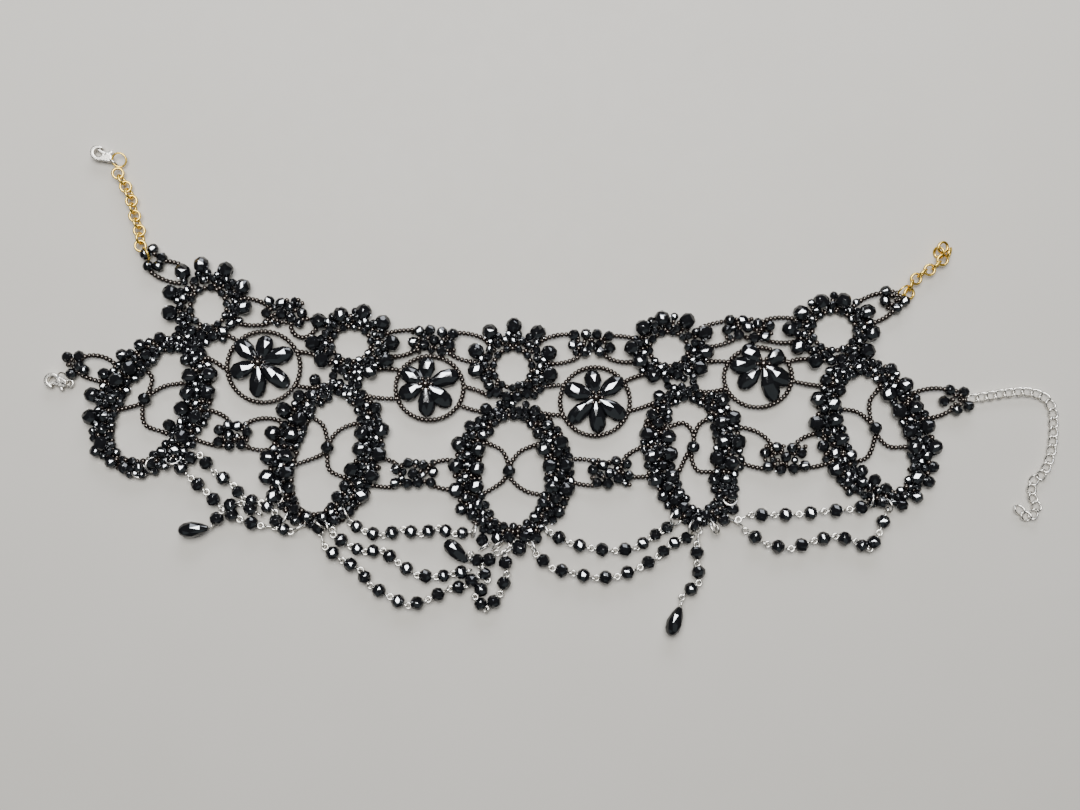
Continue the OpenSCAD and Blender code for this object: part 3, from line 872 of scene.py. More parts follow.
@dataclass
class Bench:
    """What all the sub-assemblies are made with."""

    palette: Palette = field(default_factory=Palette)
    box: BeadBox = field(default_factory=BeadBox)
    strings: SeedStrings = field(default_factory=SeedStrings)
    wire: Wire = field(default_factory=Wire)

    def cut(self, name: str, chance: int, roundness: float = Piece.roundness) -> Piece:
        """Starts a piece of cut beads with seeds among them.

        Args:
            name: The piece's name.
            chance: Seed of its chance numbers.
            roundness: How far fire polish has rounded its facets.

        Returns:
            The piece.
        """
        finishes = [self.palette.jet, self.palette.seed]
        return Piece(name, Slot.JET, finishes, self.box, chance, roundness=roundness)

    def plain(
        self,
        name: str,
        slot: Slot,
        finish: bpy.types.Material,
        chance: int,
        roundness: float = Piece.roundness,
    ) -> Piece:
        """Starts a piece of one finish.

        Args:
            name: The piece's name.
            slot: Its slot in the record, kept on the piece and not used further.
            finish: Its material.
            chance: Seed of its chance numbers.
            roundness: How far fire polish has rounded its facets.

        Returns:
            The piece.
        """
        return Piece(name, slot, [finish], self.box, chance, roundness=roundness)

    def strung(self, name: str, chance: int, *more: bpy.types.Material) -> Piece:
        """Starts a piece of seeds on thread.

        Args:
            name: The piece's name.
            chance: Seed of its chance numbers.
            more: Further materials.

        Returns:
            The piece.
        """
        return Piece(name, Slot.SEED, [self.palette.seed, self.palette.thread, *more], self.box, chance)


@dataclass
class Rosettes:
    """Six cut petals round a small bead, inside a ring of seed beads with a string on each side."""

    # The rings: middles and half widths across and down, in pixels
    rings: tuple[tuple[float, float, float, float], ...] = (
        (263.4, 367.0, 36.6, 35.6),
        (429.4, 388.2, 34.0, 32.0),
        (595.0, 401.6, 34.9, 34.2),
        (758.2, 377.4, 34.0, 30.0),
    )
    # The strings beside each ring
    ties: tuple[tuple[Tie, ...], ...] = (
        (
            (-134.6, 23.8, -125.9, 20.0, 0.4),
            (-137.8, 13.0, -128.6, 7.0, 0.4),
            (-103.6, 15.4, -92.0, 13.0, 0.8),
            (-104.6, 3.0, -92.5, 1.5, -1.0),
        ),
        (
            (-70.3, 8.4, -60.6, 8.0, 0.4),
            (-73.2, -2.2, -61.4, -3.0, -0.6),
            (-37.0, 1.8, -27.4, -1.0, 0.4),
            (-37.6, -5.4, -26.6, -8.6, -0.6),
        ),
        (
            (-4.6, 1.0, 5.4, 2.0, 0.4),
            (-6.2, -8.0, 5.2, -9.6, -0.8),
            (29.0, 3.2, 39.8, 6.8, 0.6),
            (30.4, -8.2, 42.2, -4.2, -0.6),
        ),
        (
            (59.0, 11.0, 70.6, 11.4, 0.4),
            (60.8, -0.6, 72.2, 1.6, -0.6),
            (96.2, 11.8, 105.0, 12.4, 0.4),
            (96.0, 4.0, 108.6, 1.8, -0.4),
        ),
    )
    # Each flower's middle and its petals' outer ends, in pixels
    petals: tuple[tuple[Point, tuple[Point, ...]], ...] = (
        ((259, 362.5), ((237, 341), (268, 337), (292, 351.5), (288, 386), (257, 397), (231.5, 374))),
        ((426, 384), ((427, 358), (458, 374.5), (450, 405.5), (427, 416), (400, 396), (402, 370))),
        ((596, 397.5), ((591, 371), (622, 379), (625, 418.5), (598.5, 432.5), (569.5, 422), (565, 387.5))),
        ((762.5, 364), ((744, 346.5), (731, 366), (740, 387.5), (775, 401), (788.5, 383.5), (783, 354))),
    )
    petal_width: float = 7.3
    petal_height: float = 4.5
    petal_start: float = 1.2
    petal_past_tip: float = 0.5
    # Lean of a petal and how much it varies, in degrees, and how much its roll varies, in radians
    petal_lean: float = 9.0
    petal_sway: float = 2.0
    petal_roll: float = 0.25
    petal_rise: float = 4.1
    petal_roundness: float = 0.08
    # Share of the length from the drilled tip, and share of the half width there
    petal_profile: tuple[Point, ...] = (
        (0.0, 0.12), (0.02, 0.26), (0.24, 0.66), (0.48, 0.97), (0.76, 0.95), (0.93, 0.62), (1.0, 0.2),
    )
    centre_bead: float = 3.3
    centre_height: float = 4.7
    centre_heading: float = 0.4
    # The seeds round the centre bead
    heart_seeds: int = 6
    heart_seed: float = 1.9
    heart_reach: float = 2.3
    heart_height: float = 4.6
    heart_turn: float = 1.57
    ring_steps: int = 48
    tuck: float = 1.2
    petal_chance: int = 40
    ring_chance: int = 50

    def petal(self, length: float, sides: int) -> bpy.types.Mesh:
        """Makes one cut drop that lies on its flatter side.

        Args:
            length: From its drilled tip to its round end.
            sides: Facets round it.

        Returns:
            Its mesh, with the tip at the origin.
        """
        profile = [(a * length, r * self.petal_width / 2.0) for a, r in self.petal_profile]
        return cut_drop("petal", profile, profile[1:], sides, self.petal_height / self.petal_width)

    def flower(self, bench: Bench, i: int) -> None:
        """Makes the petals of one rosette and the beads in its middle.

        Args:
            bench: What they are made with.
            i: Which of the rosettes it is.
        """
        piece = bench.cut(f"rosette_{i + 1}_petals", self.petal_chance + i, self.petal_roundness)
        heart, tips = self.petals[i]
        centre = on_photo(*heart)
        for tip in tips:
            out = on_photo(*tip) - centre
            length = out.length + self.petal_past_tip - self.petal_start
            lean = math.radians(self.petal_lean + piece.chance.uniform(-self.petal_sway, self.petal_sway))
            place = (
                Matrix.Translation(centre + Vector((0.0, 0.0, self.petal_rise)))
                @ Matrix.Rotation(math.atan2(out.y, out.x), 4, "Z")
                @ Matrix.Rotation(lean, 4, "Y")
                @ Matrix.Translation(Vector((self.petal_start, 0.0, 0.0)))
                @ Matrix.Rotation(piece.chance.uniform(-self.petal_roll, self.petal_roll), 4, "X")
            )
            piece.copy_in(self.petal(length, bench.box.petal_sides), place)
        spot = centre + Vector((0.0, 0.0, self.centre_height))
        piece.bead(Cut.ROUND, spot, self.centre_bead, self.centre_heading, 1)
        for k in range(self.heart_seeds):
            angle = FULL_TURN * k / self.heart_seeds
            spot = centre + aimed(angle) * self.heart_reach + Vector((0.0, 0.0, self.heart_height))
            piece.bead(Cut.SEED, spot, self.heart_seed, angle + self.heart_turn, 1)
        piece.finish(f"rosette_{i + 1}")

    def circle(self, bench: Bench, i: int) -> None:
        """Makes the ring of seed beads round one rosette and the strings beside it.

        Args:
            bench: What they are made with.
            i: Which of the rosettes it is.
        """
        x, y, wide, high = self.rings[i]
        z = bench.strings.height
        piece = bench.strung(f"rosette_{i + 1}_ring_seeds", self.ring_chance + i)
        angles = [FULL_TURN * k / self.ring_steps for k in range(self.ring_steps + 1)]
        line = [on_photo(x + wide * math.cos(a), y + high * math.sin(a), z) for a in angles]
        bench.strings.string(piece, line, ring=True)
        heart = on_photo(x, y, z)
        for row in self.ties[i]:
            line = tucked(bowed(*row, z), self.tuck, self.tuck)
            outside = [
                point
                for point in line
                if math.hypot((point.x - heart.x) / wide, (point.y - heart.y) / high) > MM_PER_PIXEL
            ]
            bench.strings.string(piece, outside)
        piece.finish(f"rosette_ring_{i + 1}")

    def build(self, bench: Bench) -> None:
        """Makes the rosettes and their rings.

        Args:
            bench: What they are made with.
        """
        for i in range(len(self.rings)):
            self.flower(bench, i)
            self.circle(bench, i)


@dataclass(frozen=True)
class BeadRing:
    """A ring of beads round a crown's opening.

    Out is its distance from the opening's edge, its sizes take turns round it, and height is that of the
    beads' middles. Close is the share of two beads' radii that must lie between their middles.
    """

    out: float
    sizes: tuple[float, ...]
    height: float
    pitch: float
    close: float


@dataclass
class Crowns:
    """Small ovals of beads: an open middle, two rings, and large beads that stand out."""

    # The opening's middle and half widths across and along, and the foot's direction in degrees
    rows: tuple[tuple[float, float, float, float, float], ...] = (
        (-137.4, 33.4, 6.2, 6.8, 237.0),
        (-80.2, 18.6, 6.8, 5.8, 262.0),
        (-15.6, 9.0, 6.6, 6.8, 270.0),
        (47.0, 16.6, 6.6, 5.8, 288.0),
        (113.2, 23.9, 7.6, 6.8, 293.0),
    )
    # The large beads, in pixels
    large: tuple[tuple[Point, ...], ...] = (
        ((202, 265), (226, 270), (243, 287), (244, 307), (171, 293), (170, 313), (183, 272)),
        (
            (341, 315), (364, 312), (383, 323), (392, 343), (313, 343), (319, 321), (322, 360), (386, 361),
            (370, 371),
        ),
        ((490, 332), (514, 326), (538, 333), (476, 351), (549, 353), (476, 370), (550, 375)),
        (
            (643, 328), (662, 319), (687, 321), (705, 333), (706, 352), (632, 348), (640, 361), (653, 375),
            (700, 368),
        ),
        (
            (821, 302), (843, 301), (801, 313), (790, 329), (872, 333), (867, 351), (867, 312), (798, 347),
            (815, 361),
        ),
    )
    large_bead: float = 6.3
    large_wobble: float = 0.35
    edge_ring: BeadRing = BeadRing(1.1, (3.3, 2.2), 1.8, 2.3, 0.0)
    middle_ring: BeadRing = BeadRing(5.0, (4.7,), 2.4, 4.4, 0.7)
    packing: tuple[BeadRing, ...] = (
        BeadRing(3.0, (3.3,), 3.2, 3.0, 0.74),
        BeadRing(7.4, (3.3,), 2.0, 3.3, 0.72),
        BeadRing(5.4, (3.3,), 4.2, 3.2, 0.8),
        BeadRing(2.2, (2.2,), 1.2, 2.2, 0.6),
        BeadRing(3.8, (2.2,), 1.2, 2.2, 0.6),
        BeadRing(5.4, (2.2,), 1.2, 2.2, 0.6),
    )
    # Beads that hold a large one: places along the way to it and across, heights, and how close they may sit
    spoke_bead: float = 3.3
    spoke_along: tuple[float, ...] = (0.25, 0.6, 0.95)
    spoke_across: tuple[float, ...] = (0.0, 1.9, -1.9, 3.6, -3.6)
    spoke_low: float = 2.0
    spoke_rise: float = 1.6
    spoke_close: float = 0.74
    spoke_wobble: float = 0.5
    # The foot's beads: sizes, places from the opening's edge and across, layers, and how close they may sit
    foot_beads: tuple[float, ...] = (3.6, 3.3, 3.0)
    foot_along: tuple[float, ...] = (0.4, 2.8, 5.2, 7.6, 10.0, 12.2)
    foot_across: tuple[float, ...] = (-5.2, -2.6, 0.0, 2.6, 5.2)
    foot_layers: tuple[float, ...] = (0.1, 1.9)
    foot_shift: float = 0.4
    foot_close: float = 0.76
    foot_wobble: float = 0.6
    chance: int = 10

    def reach(self, row: Sequence[float], angle: float) -> float:
        """Radius of the opening's edge in a direction.

        Args:
            row: The crown's row.
            angle: The direction, in radians.

        Returns:
            The radius.
        """
        wide, high = row[2], row[3]
        return wide * high / math.hypot(high * math.cos(angle), wide * math.sin(angle))

    def ring(self, piece: Piece, row: Sequence[float], kind: BeadRing) -> None:
        """Sets a ring of beads round the opening.

        Args:
            piece: The crown.
            row: Its row.
            kind: The ring.
        """
        middle = Vector((row[0], row[1], 0.0))
        length = FULL_TURN * (0.5 * (row[2] + row[3]) + kind.out)
        turns = len(kind.sizes)
        count = max(turns, round(length / kind.pitch / turns) * turns)
        start = piece.chance.uniform(0.0, 1.0)
        for k in range(count):
            angle = FULL_TURN * (k + start) / count
            size = kind.sizes[k % turns]
            spot = middle + aimed(angle, self.reach(row, angle) + kind.out, kind.height)
            if piece.room(spot, size / 2.0, kind.close):
                piece.small_bead(spot, size, angle + QUARTER_TURN)

    def spoke(self, piece: Piece, row: Sequence[float], away: Vector) -> None:
        """Sets the small beads that hold a large one to the opening's ring.

        Args:
            piece: The crown.
            row: Its row.
            away: From the crown's middle to the large bead.
        """
        middle = Vector((row[0], row[1], 0.0))
        out = Vector((away.x, away.y, 0.0)).normalized()
        side = left_of(out)
        edge = self.reach(row, math.atan2(out.y, out.x))
        room = away.length - edge - self.large_bead / 2.0
        for part in self.spoke_along:
            for across in self.spoke_across:
                spot = middle + out * (edge + room * part) + side * across
                spot.z = self.spoke_low + piece.chance.uniform(0.0, self.spoke_rise)
                if piece.room(spot, self.spoke_bead / 2.0, self.spoke_close):
                    heading = math.atan2(side.y, side.x)
                    piece.bead(Cut.ROUND, spot, self.spoke_bead, heading, 0, self.spoke_wobble)

    def foot(self, piece: Piece, row: Sequence[float]) -> None:
        """Packs the knot of small beads that joins the crown to the oval below.

        Args:
            piece: The crown.
            row: Its row.
        """
        middle = Vector((row[0], row[1], 0.0))
        angle = math.radians(row[4])
        out = aimed(angle)
        side = left_of(out)
        edge = self.reach(row, angle)
        for layer in self.foot_layers:
            for along in self.foot_along:
                for across in self.foot_across:
                    shift = piece.chance.uniform(-self.foot_shift, self.foot_shift)
                    size = piece.chance.choice(self.foot_beads)
                    spot = middle + out * (edge + along + shift) + side * (across + shift)
                    spot.z = size / 2.0 + layer + piece.chance.uniform(0.0, self.foot_shift)
                    if piece.room(spot, size / 2.0, self.foot_close):
                        piece.bead(Cut.ROUND, spot, size, angle + QUARTER_TURN, 0, self.foot_wobble)

    def build(self, bench: Bench) -> None:
        """Makes the five crowns.

        Args:
            bench: What they are made with.
        """
        for i, row in enumerate(self.rows):
            piece = bench.cut(f"crown_{i + 1}_beads", self.chance + i)
            middle = Vector((row[0], row[1], 0.0))
            self.ring(piece, row, self.edge_ring)
            for x, y in self.large[i]:
                spot = on_photo(x, y, self.large_bead / 2.0)
                away = spot - middle
                heading = math.atan2(away.x, -away.y)
                piece.bead(Cut.RONDELLE, spot, self.large_bead, heading, 0, self.large_wobble)
                self.spoke(piece, row, away)
            self.ring(piece, row, self.middle_ring)
            self.foot(piece, row)
            for kind in self.packing:
                self.ring(piece, row, kind)
            piece.finish(f"crown_{i + 1}")


# Sizes of the ovals' beads that were read from the picture
BIG = 6.3
MID = 4.9
MINOR = 4.0
SMALL = 3.5


@dataclass
class Ovals:
    """Large open ovals of beads in two rows, with a lattice of seed strings and a bead inside each."""

    # The band's middle and half widths across and along, its turn in degrees, and how much wider its top is
    rows: tuple[tuple[float, ...], ...] = (
        (-159.2, -6.0, 16.8, 26.8, -30.0, -0.1),
        (-90.3, -25.8, 16.6, 26.8, -17.0, 0.0),
        (-15.3, -32.8, 18.4, 23.8, 0.0, 0.0),
        (56.8, -26.6, 14.2, 25.0, 9.0, 0.2),
        (129.2, -16.9, 16.8, 27.1, 20.0, -0.06),
    )
    # The large beads: pixels across and down, and size
    beads: tuple[tuple[Spot, ...], ...] = (
        (
            (160, 338, MID), (140, 345, MID), (122, 355, MID), (146, 355, MID), (130, 368, BIG),
            (104, 374, MID), (117, 380, BIG), (93, 395, BIG), (111, 399, MID), (91, 417, BIG),
            (104, 416, MID), (102, 429, MID), (102, 443, BIG), (96, 451, MID), (111, 462, MID),
            (124, 468, MID), (139, 467, MID), (151, 463, MID), (201, 354, MID), (186, 360, MID),
            (210, 374, BIG), (190, 376, BIG), (188, 393, BIG), (208, 392, BIG), (182, 409, BIG),
            (196, 417, BIG), (169, 425, MID), (183, 437, BIG), (162, 452, MID), (175, 450, MID),
        ),
        (
            (315, 380, MID), (324, 395, SMALL), (312, 395, MID), (299, 396, MID), (284, 410, BIG),
            (300, 419, BIG), (273, 433, BIG), (292, 434, BIG), (268, 457, BIG), (287, 456, BIG),
            (267, 477, BIG), (287, 473, BIG), (277, 483, MID), (289, 488, MID), (274, 496, BIG),
            (267, 507, MID), (294, 509, MID), (296, 520, MID), (307, 517, MID), (323, 517, MID),
            (318, 528, MID), (334, 520, MID), (349, 511, MID), (337, 497, MID), (362, 495, BIG),
            (345, 486, MID), (359, 484, MID), (352, 470, BIG), (372, 476, BIG), (360, 449, BIG),
            (379, 454, BIG), (362, 433, BIG), (382, 430, BIG), (376, 408, MID), (360, 402, MID),
        ),
        (
            (486, 409, MID), (470, 426, MID), (472, 436, SMALL), (483, 435, MID), (459, 444, BIG),
            (478, 449, BIG), (468, 455, MINOR), (456, 466, BIG), (477, 468, BIG), (466, 477, MINOR),
            (456, 490, BIG), (476, 486, BIG), (466, 497, MINOR), (461, 509, MID), (478, 504, MID),
            (472, 515, MID), (483, 521, MID), (482, 540, MID), (497, 538, MID), (509, 537, MID),
            (519, 548, BIG), (525, 537, MID), (536, 538, MID), (535, 517, MID), (559, 512, MID),
            (543, 503, MID), (556, 498, MID), (552, 487, BIG), (567, 489, BIG), (561, 475, MINOR),
            (550, 466, BIG), (566, 465, BIG), (558, 453, MINOR), (544, 449, BIG), (561, 443, BIG),
            (538, 433, MID), (548, 425, MID), (535, 411, MID),
        ),
        (
            (659, 396, MID), (663, 408, SMALL), (652, 415, MID), (668, 419, SMALL), (658, 423, MID),
            (647, 434, BIG), (668, 437, BIG), (651, 456, BIG), (670, 454, BIG), (663, 465, MINOR),
            (655, 480, BIG), (672, 476, BIG), (668, 486, MID), (663, 496, MID), (679, 493, MID),
            (675, 500, MID), (684, 507, MID), (676, 513, MID), (694, 525, MID), (706, 515, MID),
            (724, 520, MID), (722, 400, BIG), (721, 422, BIG), (733, 418, BIG), (723, 441, BIG),
            (738, 442, BIG), (717, 458, BIG), (732, 463, BIG), (714, 480, MID), (726, 479, MID),
            (732, 496, MID), (733, 509, MID),
        ),
        (
            (829, 371, SMALL), (826, 380, MID), (840, 390, MID), (818, 399, BIG), (833, 404, BIG),
            (823, 409, MINOR), (816, 423, BIG), (835, 420, BIG), (841, 439, BIG), (823, 446, MID),
            (835, 453, MID), (851, 455, MID), (835, 469, BIG), (862, 471, MID), (848, 482, MID),
            (862, 482, MID), (875, 480, MID), (886, 489, MID), (882, 502, MID), (902, 505, MID),
            (917, 497, MID), (872, 363, SMALL), (891, 369, MID), (905, 385, BIG), (888, 394, BIG),
            (899, 411, BIG), (915, 407, BIG), (909, 431, BIG), (927, 426, BIG), (914, 447, BIG),
            (934, 447, BIG), (927, 455, MID), (933, 467, MID), (917, 477, BIG), (929, 482, MID),
        ),
    )
    # The bead inside each oval and the two strings that cross under it, in pixels
    lattices: tuple[tuple[Point, tuple[Point, ...], tuple[Point, ...]], ...] = (
        (
            (145, 399),
            ((139, 365), (151, 376), (150, 387), (145, 399), (137, 405), (114, 411)),
            ((185, 383), (165, 386), (151, 394), (145, 400), (142, 410), (145, 425), (162, 432)),
        ),
        (
            (327.5, 447.5),
            ((309, 416), (323, 426), (327, 446), (321, 455), (292, 466)),
            ((358, 423), (345, 427), (334, 435), (328, 447), (327, 456), (330, 471), (348, 479)),
        ),
        (
            (509, 471),
            ((487, 443), (502, 451), (508, 466), (503, 481), (482, 495)),
            ((538, 444), (520, 452), (510, 466), (511, 479), (525, 491), (541, 495)),
        ),
        (
            (693, 447),
            ((675, 425), (683, 423), (691, 429), (694, 439), (692, 447), (686, 457), (680, 470)),
            ((710, 418), (700, 424), (695, 434), (693, 447), (692, 460), (698, 471), (710, 472)),
        ),
        (
            (875, 428),
            ((841, 409), (857, 412), (868, 420), (875, 430), (874, 443), (868, 457), (857, 462)),
            ((878, 390), (870, 402), (871, 419), (876, 430), (880, 439), (890, 447), (905, 447)),
        ),
    )
    # Width of the band at its top and at its sides, and how fast it grows between them
    band_narrow: float = 3.4
    band_wide: float = 7.6
    band_growth: float = 1.4
    # Small beads set between the large ones: size, height, how close they may sit, and tries round the oval
    filler: tuple[tuple[float, float, float, int], ...] = (
        (3.5, 1.9, 0.72, 56),
        (3.2, 3.4, 0.78, 50),
        (2.3, 2.9, 0.74, 70),
        (2.3, 1.2, 0.6, 90),
    )
    # Their places across the band as shares of its width, and those that are always inside it
    filler_across: tuple[float, ...] = (-0.6, -0.4, -0.2, 0.0, 0.2, 0.4, 0.6)
    filler_inside: float = 0.5
    # Farther out they must sit this near to a large bead, as a share of their size
    filler_near: float = 0.75
    filler_shift: float = 0.4
    filler_lift: Point = (-0.1, 0.3)
    filler_wobble: float = 0.5
    # Beads read from the picture that are no bigger than this sit higher than the others
    raised_limit: float = 4.1
    raised_by: float = 1.6
    bead_wobble: float = 0.3
    # Power of the band's sine and cosine: 1 is an ellipse, and less is squarer
    power: float = 0.96
    # Places on the band that are tried for the one nearest to a bead, and half the step that the band's
    # heading is taken over, in radians
    heading_tries: int = 60
    heading_step: float = 0.05
    centre_bead: float = 5.1
    centre_height: float = 3.0
    centre_wobble: float = 0.15
    tuck: float = 1.7
    chance: int = 20
    lattice_chance: int = 30

    def middle_line(self, row: Sequence[float], angle: float) -> Vector:
        """A point on the middle of an oval's band.

        Args:
            row: The oval's row.
            angle: Zero at the top, clockwise, in radians.

        Returns:
            The point on the table.
        """
        x, y, half_w, half_h, turn, taper = row
        sine, cosine = math.sin(angle), math.cos(angle)
        own = Vector(
            (
                half_w * (1.0 + taper * cosine) * math.copysign(abs(sine) ** self.power, sine),
                half_h * math.copysign(abs(cosine) ** self.power, cosine),
                0.0,
            )
        )
        own.rotate(Matrix.Rotation(math.radians(turn), 3, "Z"))
        return own + Vector((x, y, 0.0))

    def run(self, row: Sequence[float], angle: float) -> Vector:
        """A short step along an oval's band.

        Args:
            row: The oval's row.
            angle: Where on the band, as for its middle line.

        Returns:
            The step.
        """
        step = self.heading_step
        return self.middle_line(row, angle + step) - self.middle_line(row, angle - step)

    def heading(self, row: Sequence[float], spot: Vector) -> float:
        """Direction of the band beside a place.

        Args:
            row: The oval's row.
            spot: The place.

        Returns:
            The heading in radians.
        """
        flat = Vector((spot.x, spot.y, 0.0))
        angles = [FULL_TURN * k / self.heading_tries for k in range(self.heading_tries)]
        run = self.run(row, min(angles, key=lambda a: (self.middle_line(row, a) - flat).length))
        return math.atan2(run.y, run.x)

    def fill(self, piece: Piece, row: Sequence[float]) -> None:
        """Packs the small beads that hold the large ones together.

        Args:
            piece: The oval.
            row: Its row.
        """
        set_by_eye = len(piece.taken)
        for size, z, share, steps in self.filler:
            for k in range(steps):
                angle = FULL_TURN * k / steps
                middle = self.middle_line(row, angle)
                run = self.run(row, angle)
                side = left_of(run).normalized()
                growth = abs(math.sin(angle)) ** self.band_growth
                width = self.band_narrow + (self.band_wide - self.band_narrow) * growth
                for part in self.filler_across:
                    shift = piece.chance.uniform(-self.filler_shift, self.filler_shift)
                    spot = middle + side * (part * width + shift)
                    spot.z = z + piece.chance.uniform(*self.filler_lift)
                    near = min((spot - other).length - r for other, r in piece.taken[:set_by_eye])
                    inside = abs(part) < self.filler_inside or near < size * self.filler_near
                    if inside and piece.room(spot, size / 2.0, share):
                        piece.small_bead(spot, size, math.atan2(run.y, run.x), self.filler_wobble)

    def build(self, bench: Bench) -> None:
        """Makes the five ovals and their lattices.

        Args:
            bench: What they are made with.
        """
        for i, row in enumerate(self.rows):
            piece = bench.cut(f"oval_{i + 1}_beads", self.chance + i)
            for x, y, size in self.beads[i]:
                spot = on_photo(x, y, size / 2.0 if size > self.raised_limit else size / 2.0 + self.raised_by)
                piece.bead(Cut.RONDELLE, spot, size, self.heading(row, spot), 0, self.bead_wobble)
            self.fill(piece, row)
            piece.finish(f"oval_{i + 1}")
            middle, one, two = self.lattices[i]
            lattice = bench.strung(
                f"oval_{i + 1}_lattice_beads", self.lattice_chance + i, bench.palette.jet
            )
            for line in (one, two):
                run = smooth_run([on_photo(x, y, bench.strings.height) for x, y in line])
                bench.strings.string(lattice, tucked(run, self.tuck, self.tuck))
            spot = on_photo(*middle, self.centre_height)
            along = math.radians(row[4] + 90.0)
            lattice.bead(Cut.RONDELLE, spot, self.centre_bead, along, 2, self.centre_wobble)
            lattice.finish(f"oval_lattice_{i + 1}")


@dataclass
class Bridges:
    """Small panels of beads between the ovals, with loops of seed strings on both sides."""

    # The panels' large beads, in pixels
    upper: tuple[tuple[Point, ...], ...] = (
        ((269, 301), (281, 303), (290, 307), (302, 313), (266, 313), (281, 314), (299, 323), (291, 318)),
        (
            (419, 331), (430, 330), (442, 332), (453, 334), (413, 342), (424, 345), (450, 345), (442, 351),
            (434, 340),
        ),
        (
            (574, 335), (586, 334), (597, 334), (609, 336), (573, 345), (592, 346), (610, 348), (585, 352),
            (600, 352),
        ),
        (
            (730, 320), (743, 320), (758, 323), (770, 326), (727, 330), (748, 327), (739, 335), (754, 338),
            (765, 337),
        ),
    )
    lower: tuple[tuple[Point, ...], ...] = (
        ((228, 425), (237, 426), (219, 430), (229, 435), (247, 432), (218, 442), (229, 446), (241, 445)),
        (
            (396, 469), (408, 463), (423, 465), (413, 474), (433, 472), (395, 483), (407, 484), (418, 483),
            (431, 483),
        ),
        (
            (593, 470), (603, 465), (616, 461), (627, 464), (610, 473), (597, 483), (608, 484), (619, 479),
            (629, 476),
        ),
        (
            (765, 453), (777, 447), (792, 448), (802, 453), (786, 457), (768, 467), (781, 470), (794, 469),
            (805, 466),
        ),
    )
    # The strings on both sides of each pair of panels
    loops: tuple[tuple[Tie, ...], ...] = (
        (
            (-124.6, 36.6, -113.4, 33.6, 1.2), (-125.9, 27.6, -112.4, 27.6, -1.6),
            (-99.8, 28.4, -91.0, 26.6, 0.8), (-104.3, 26.9, -95.4, 23.4, -3.9),
            (-142.2, -8.0, -129.0, -12.6, 1.9), (-143.6, -18.6, -131.0, -22.0, -1.1),
            (-123.0, -14.6, -108.0, -13.2, 2.7), (-124.0, -20.6, -108.0, -20.8, -3.2),
        ),
        (
            (-68.6, 21.4, -54.0, 23.4, 1.4), (-67.2, 14.6, -53.8, 17.4, -2.2),
            (-40.2, 22.2, -25.6, 19.2, 1.9), (-41.8, 16.4, -27.0, 12.0, -2.2),
            (-73.6, -27.6, -61.8, -29.8, 1.4), (-74.4, -36.4, -61.8, -38.0, -1.4),
            (-48.4, -30.2, -38.0, -28.6, 1.4), (-48.4, -37.0, -38.0, -39.0, -1.4),
        ),
        (
            (-5.2, 18.6, 9.4, 21.6, 1.9), (-4.4, 12.0, 11.6, 14.6, -2.4),
            (21.2, 21.0, 35.6, 19.5, 1.4), (20.8, 15.2, 34.8, 13.0, -2.7),
            (6.0, -28.6, 18.4, -29.6, 1.6), (6.4, -35.0, 18.2, -37.2, -1.6),
            (29.0, -27.8, 43.6, -21.6, 1.9), (29.8, -33.6, 44.4, -31.6, -1.9),
        ),
        (
            (56.8, 23.0, 73.4, 27.4, 1.6), (58.8, 17.8, 74.2, 21.4, -1.6),
            (84.4, 27.4, 98.0, 28.0, 1.4), (84.0, 21.6, 100.0, 21.0, -2.2),
            (70.8, -16.4, 88.2, -23.4, 4.1), (71.5, -25.4, 87.8, -30.6, -2.2),
            (96.6, -23.6, 110.0, -18.0, 2.7), (98.4, -30.6, 114.0, -27.0, -1.6),
        ),
    )
    bead: float = 4.5
    uneven: Point = (0.94, 1.06)
    wobble: float = 0.7
    # Small beads between the large ones: size and height
    filler: tuple[Point, ...] = ((2.9, 1.6), (2.0, 3.2), (2.0, 1.4))
    # Their tries across and down, how far they stray, how near to a large bead and how close they may sit
    filler_tries: tuple[int, int] = (14, 8)
    filler_shift: float = 0.4
    filler_near: float = 4.6
    filler_close: float = 0.84
    filler_heading: float = 0.5
    tuck: float = 1.4
    chance: int = 60
    loop_chance: int = 70

    def panel(self, piece: Piece, spots: Sequence[Point]) -> None:
        """Sets a panel's beads and the small beads between them.

        Args:
            piece: The panel.
            spots: Its beads, in pixels.
        """
        places = [on_photo(x, y, self.bead / 2.0) for x, y in spots]
        for place in places:
            piece.bead(Cut.ROUND, place, self.bead * piece.chance.uniform(*self.uneven), 0.0, 0, self.wobble)
        low = Vector((min(p.x for p in places), min(p.y for p in places), 0.0))
        high = Vector((max(p.x for p in places), max(p.y for p in places), 0.0))
        across, down = self.filler_tries
        for size, z in self.filler:
            for k in range(across):
                for j in range(down):
                    x = low.x + (high.x - low.x) * k / (across - 1)
                    x += piece.chance.uniform(-self.filler_shift, self.filler_shift)
                    y = low.y + (high.y - low.y) * j / (down - 1)
                    y += piece.chance.uniform(-self.filler_shift, self.filler_shift)
                    spot = Vector((x, y, z))
                    near = min((spot - p).length for p in places)
                    if near < self.filler_near and piece.room(spot, size / 2.0, self.filler_close):
                        piece.small_bead(spot, size, self.filler_heading, self.wobble)

    def build(self, bench: Bench) -> None:
        """Makes the bridges and their loops.

        Args:
            bench: What they are made with.
        """
        for i, rows in enumerate(self.loops):
            for name, panels in (("upper_bridge", self.upper), ("lower_bridge", self.lower)):
                piece = bench.cut(f"{name}_{i + 1}_beads", self.chance + i)
                self.panel(piece, panels[i])
                piece.finish(f"{name}_{i + 1}")
            loops = bench.strung(f"bridge_{i + 1}_loop_seeds", self.loop_chance + i)
            for row in rows:
                bench.strings.string(loops, tucked(bowed(*row, bench.strings.height), self.tuck, self.tuck))
            loops.finish(f"bridge_loops_{i + 1}")


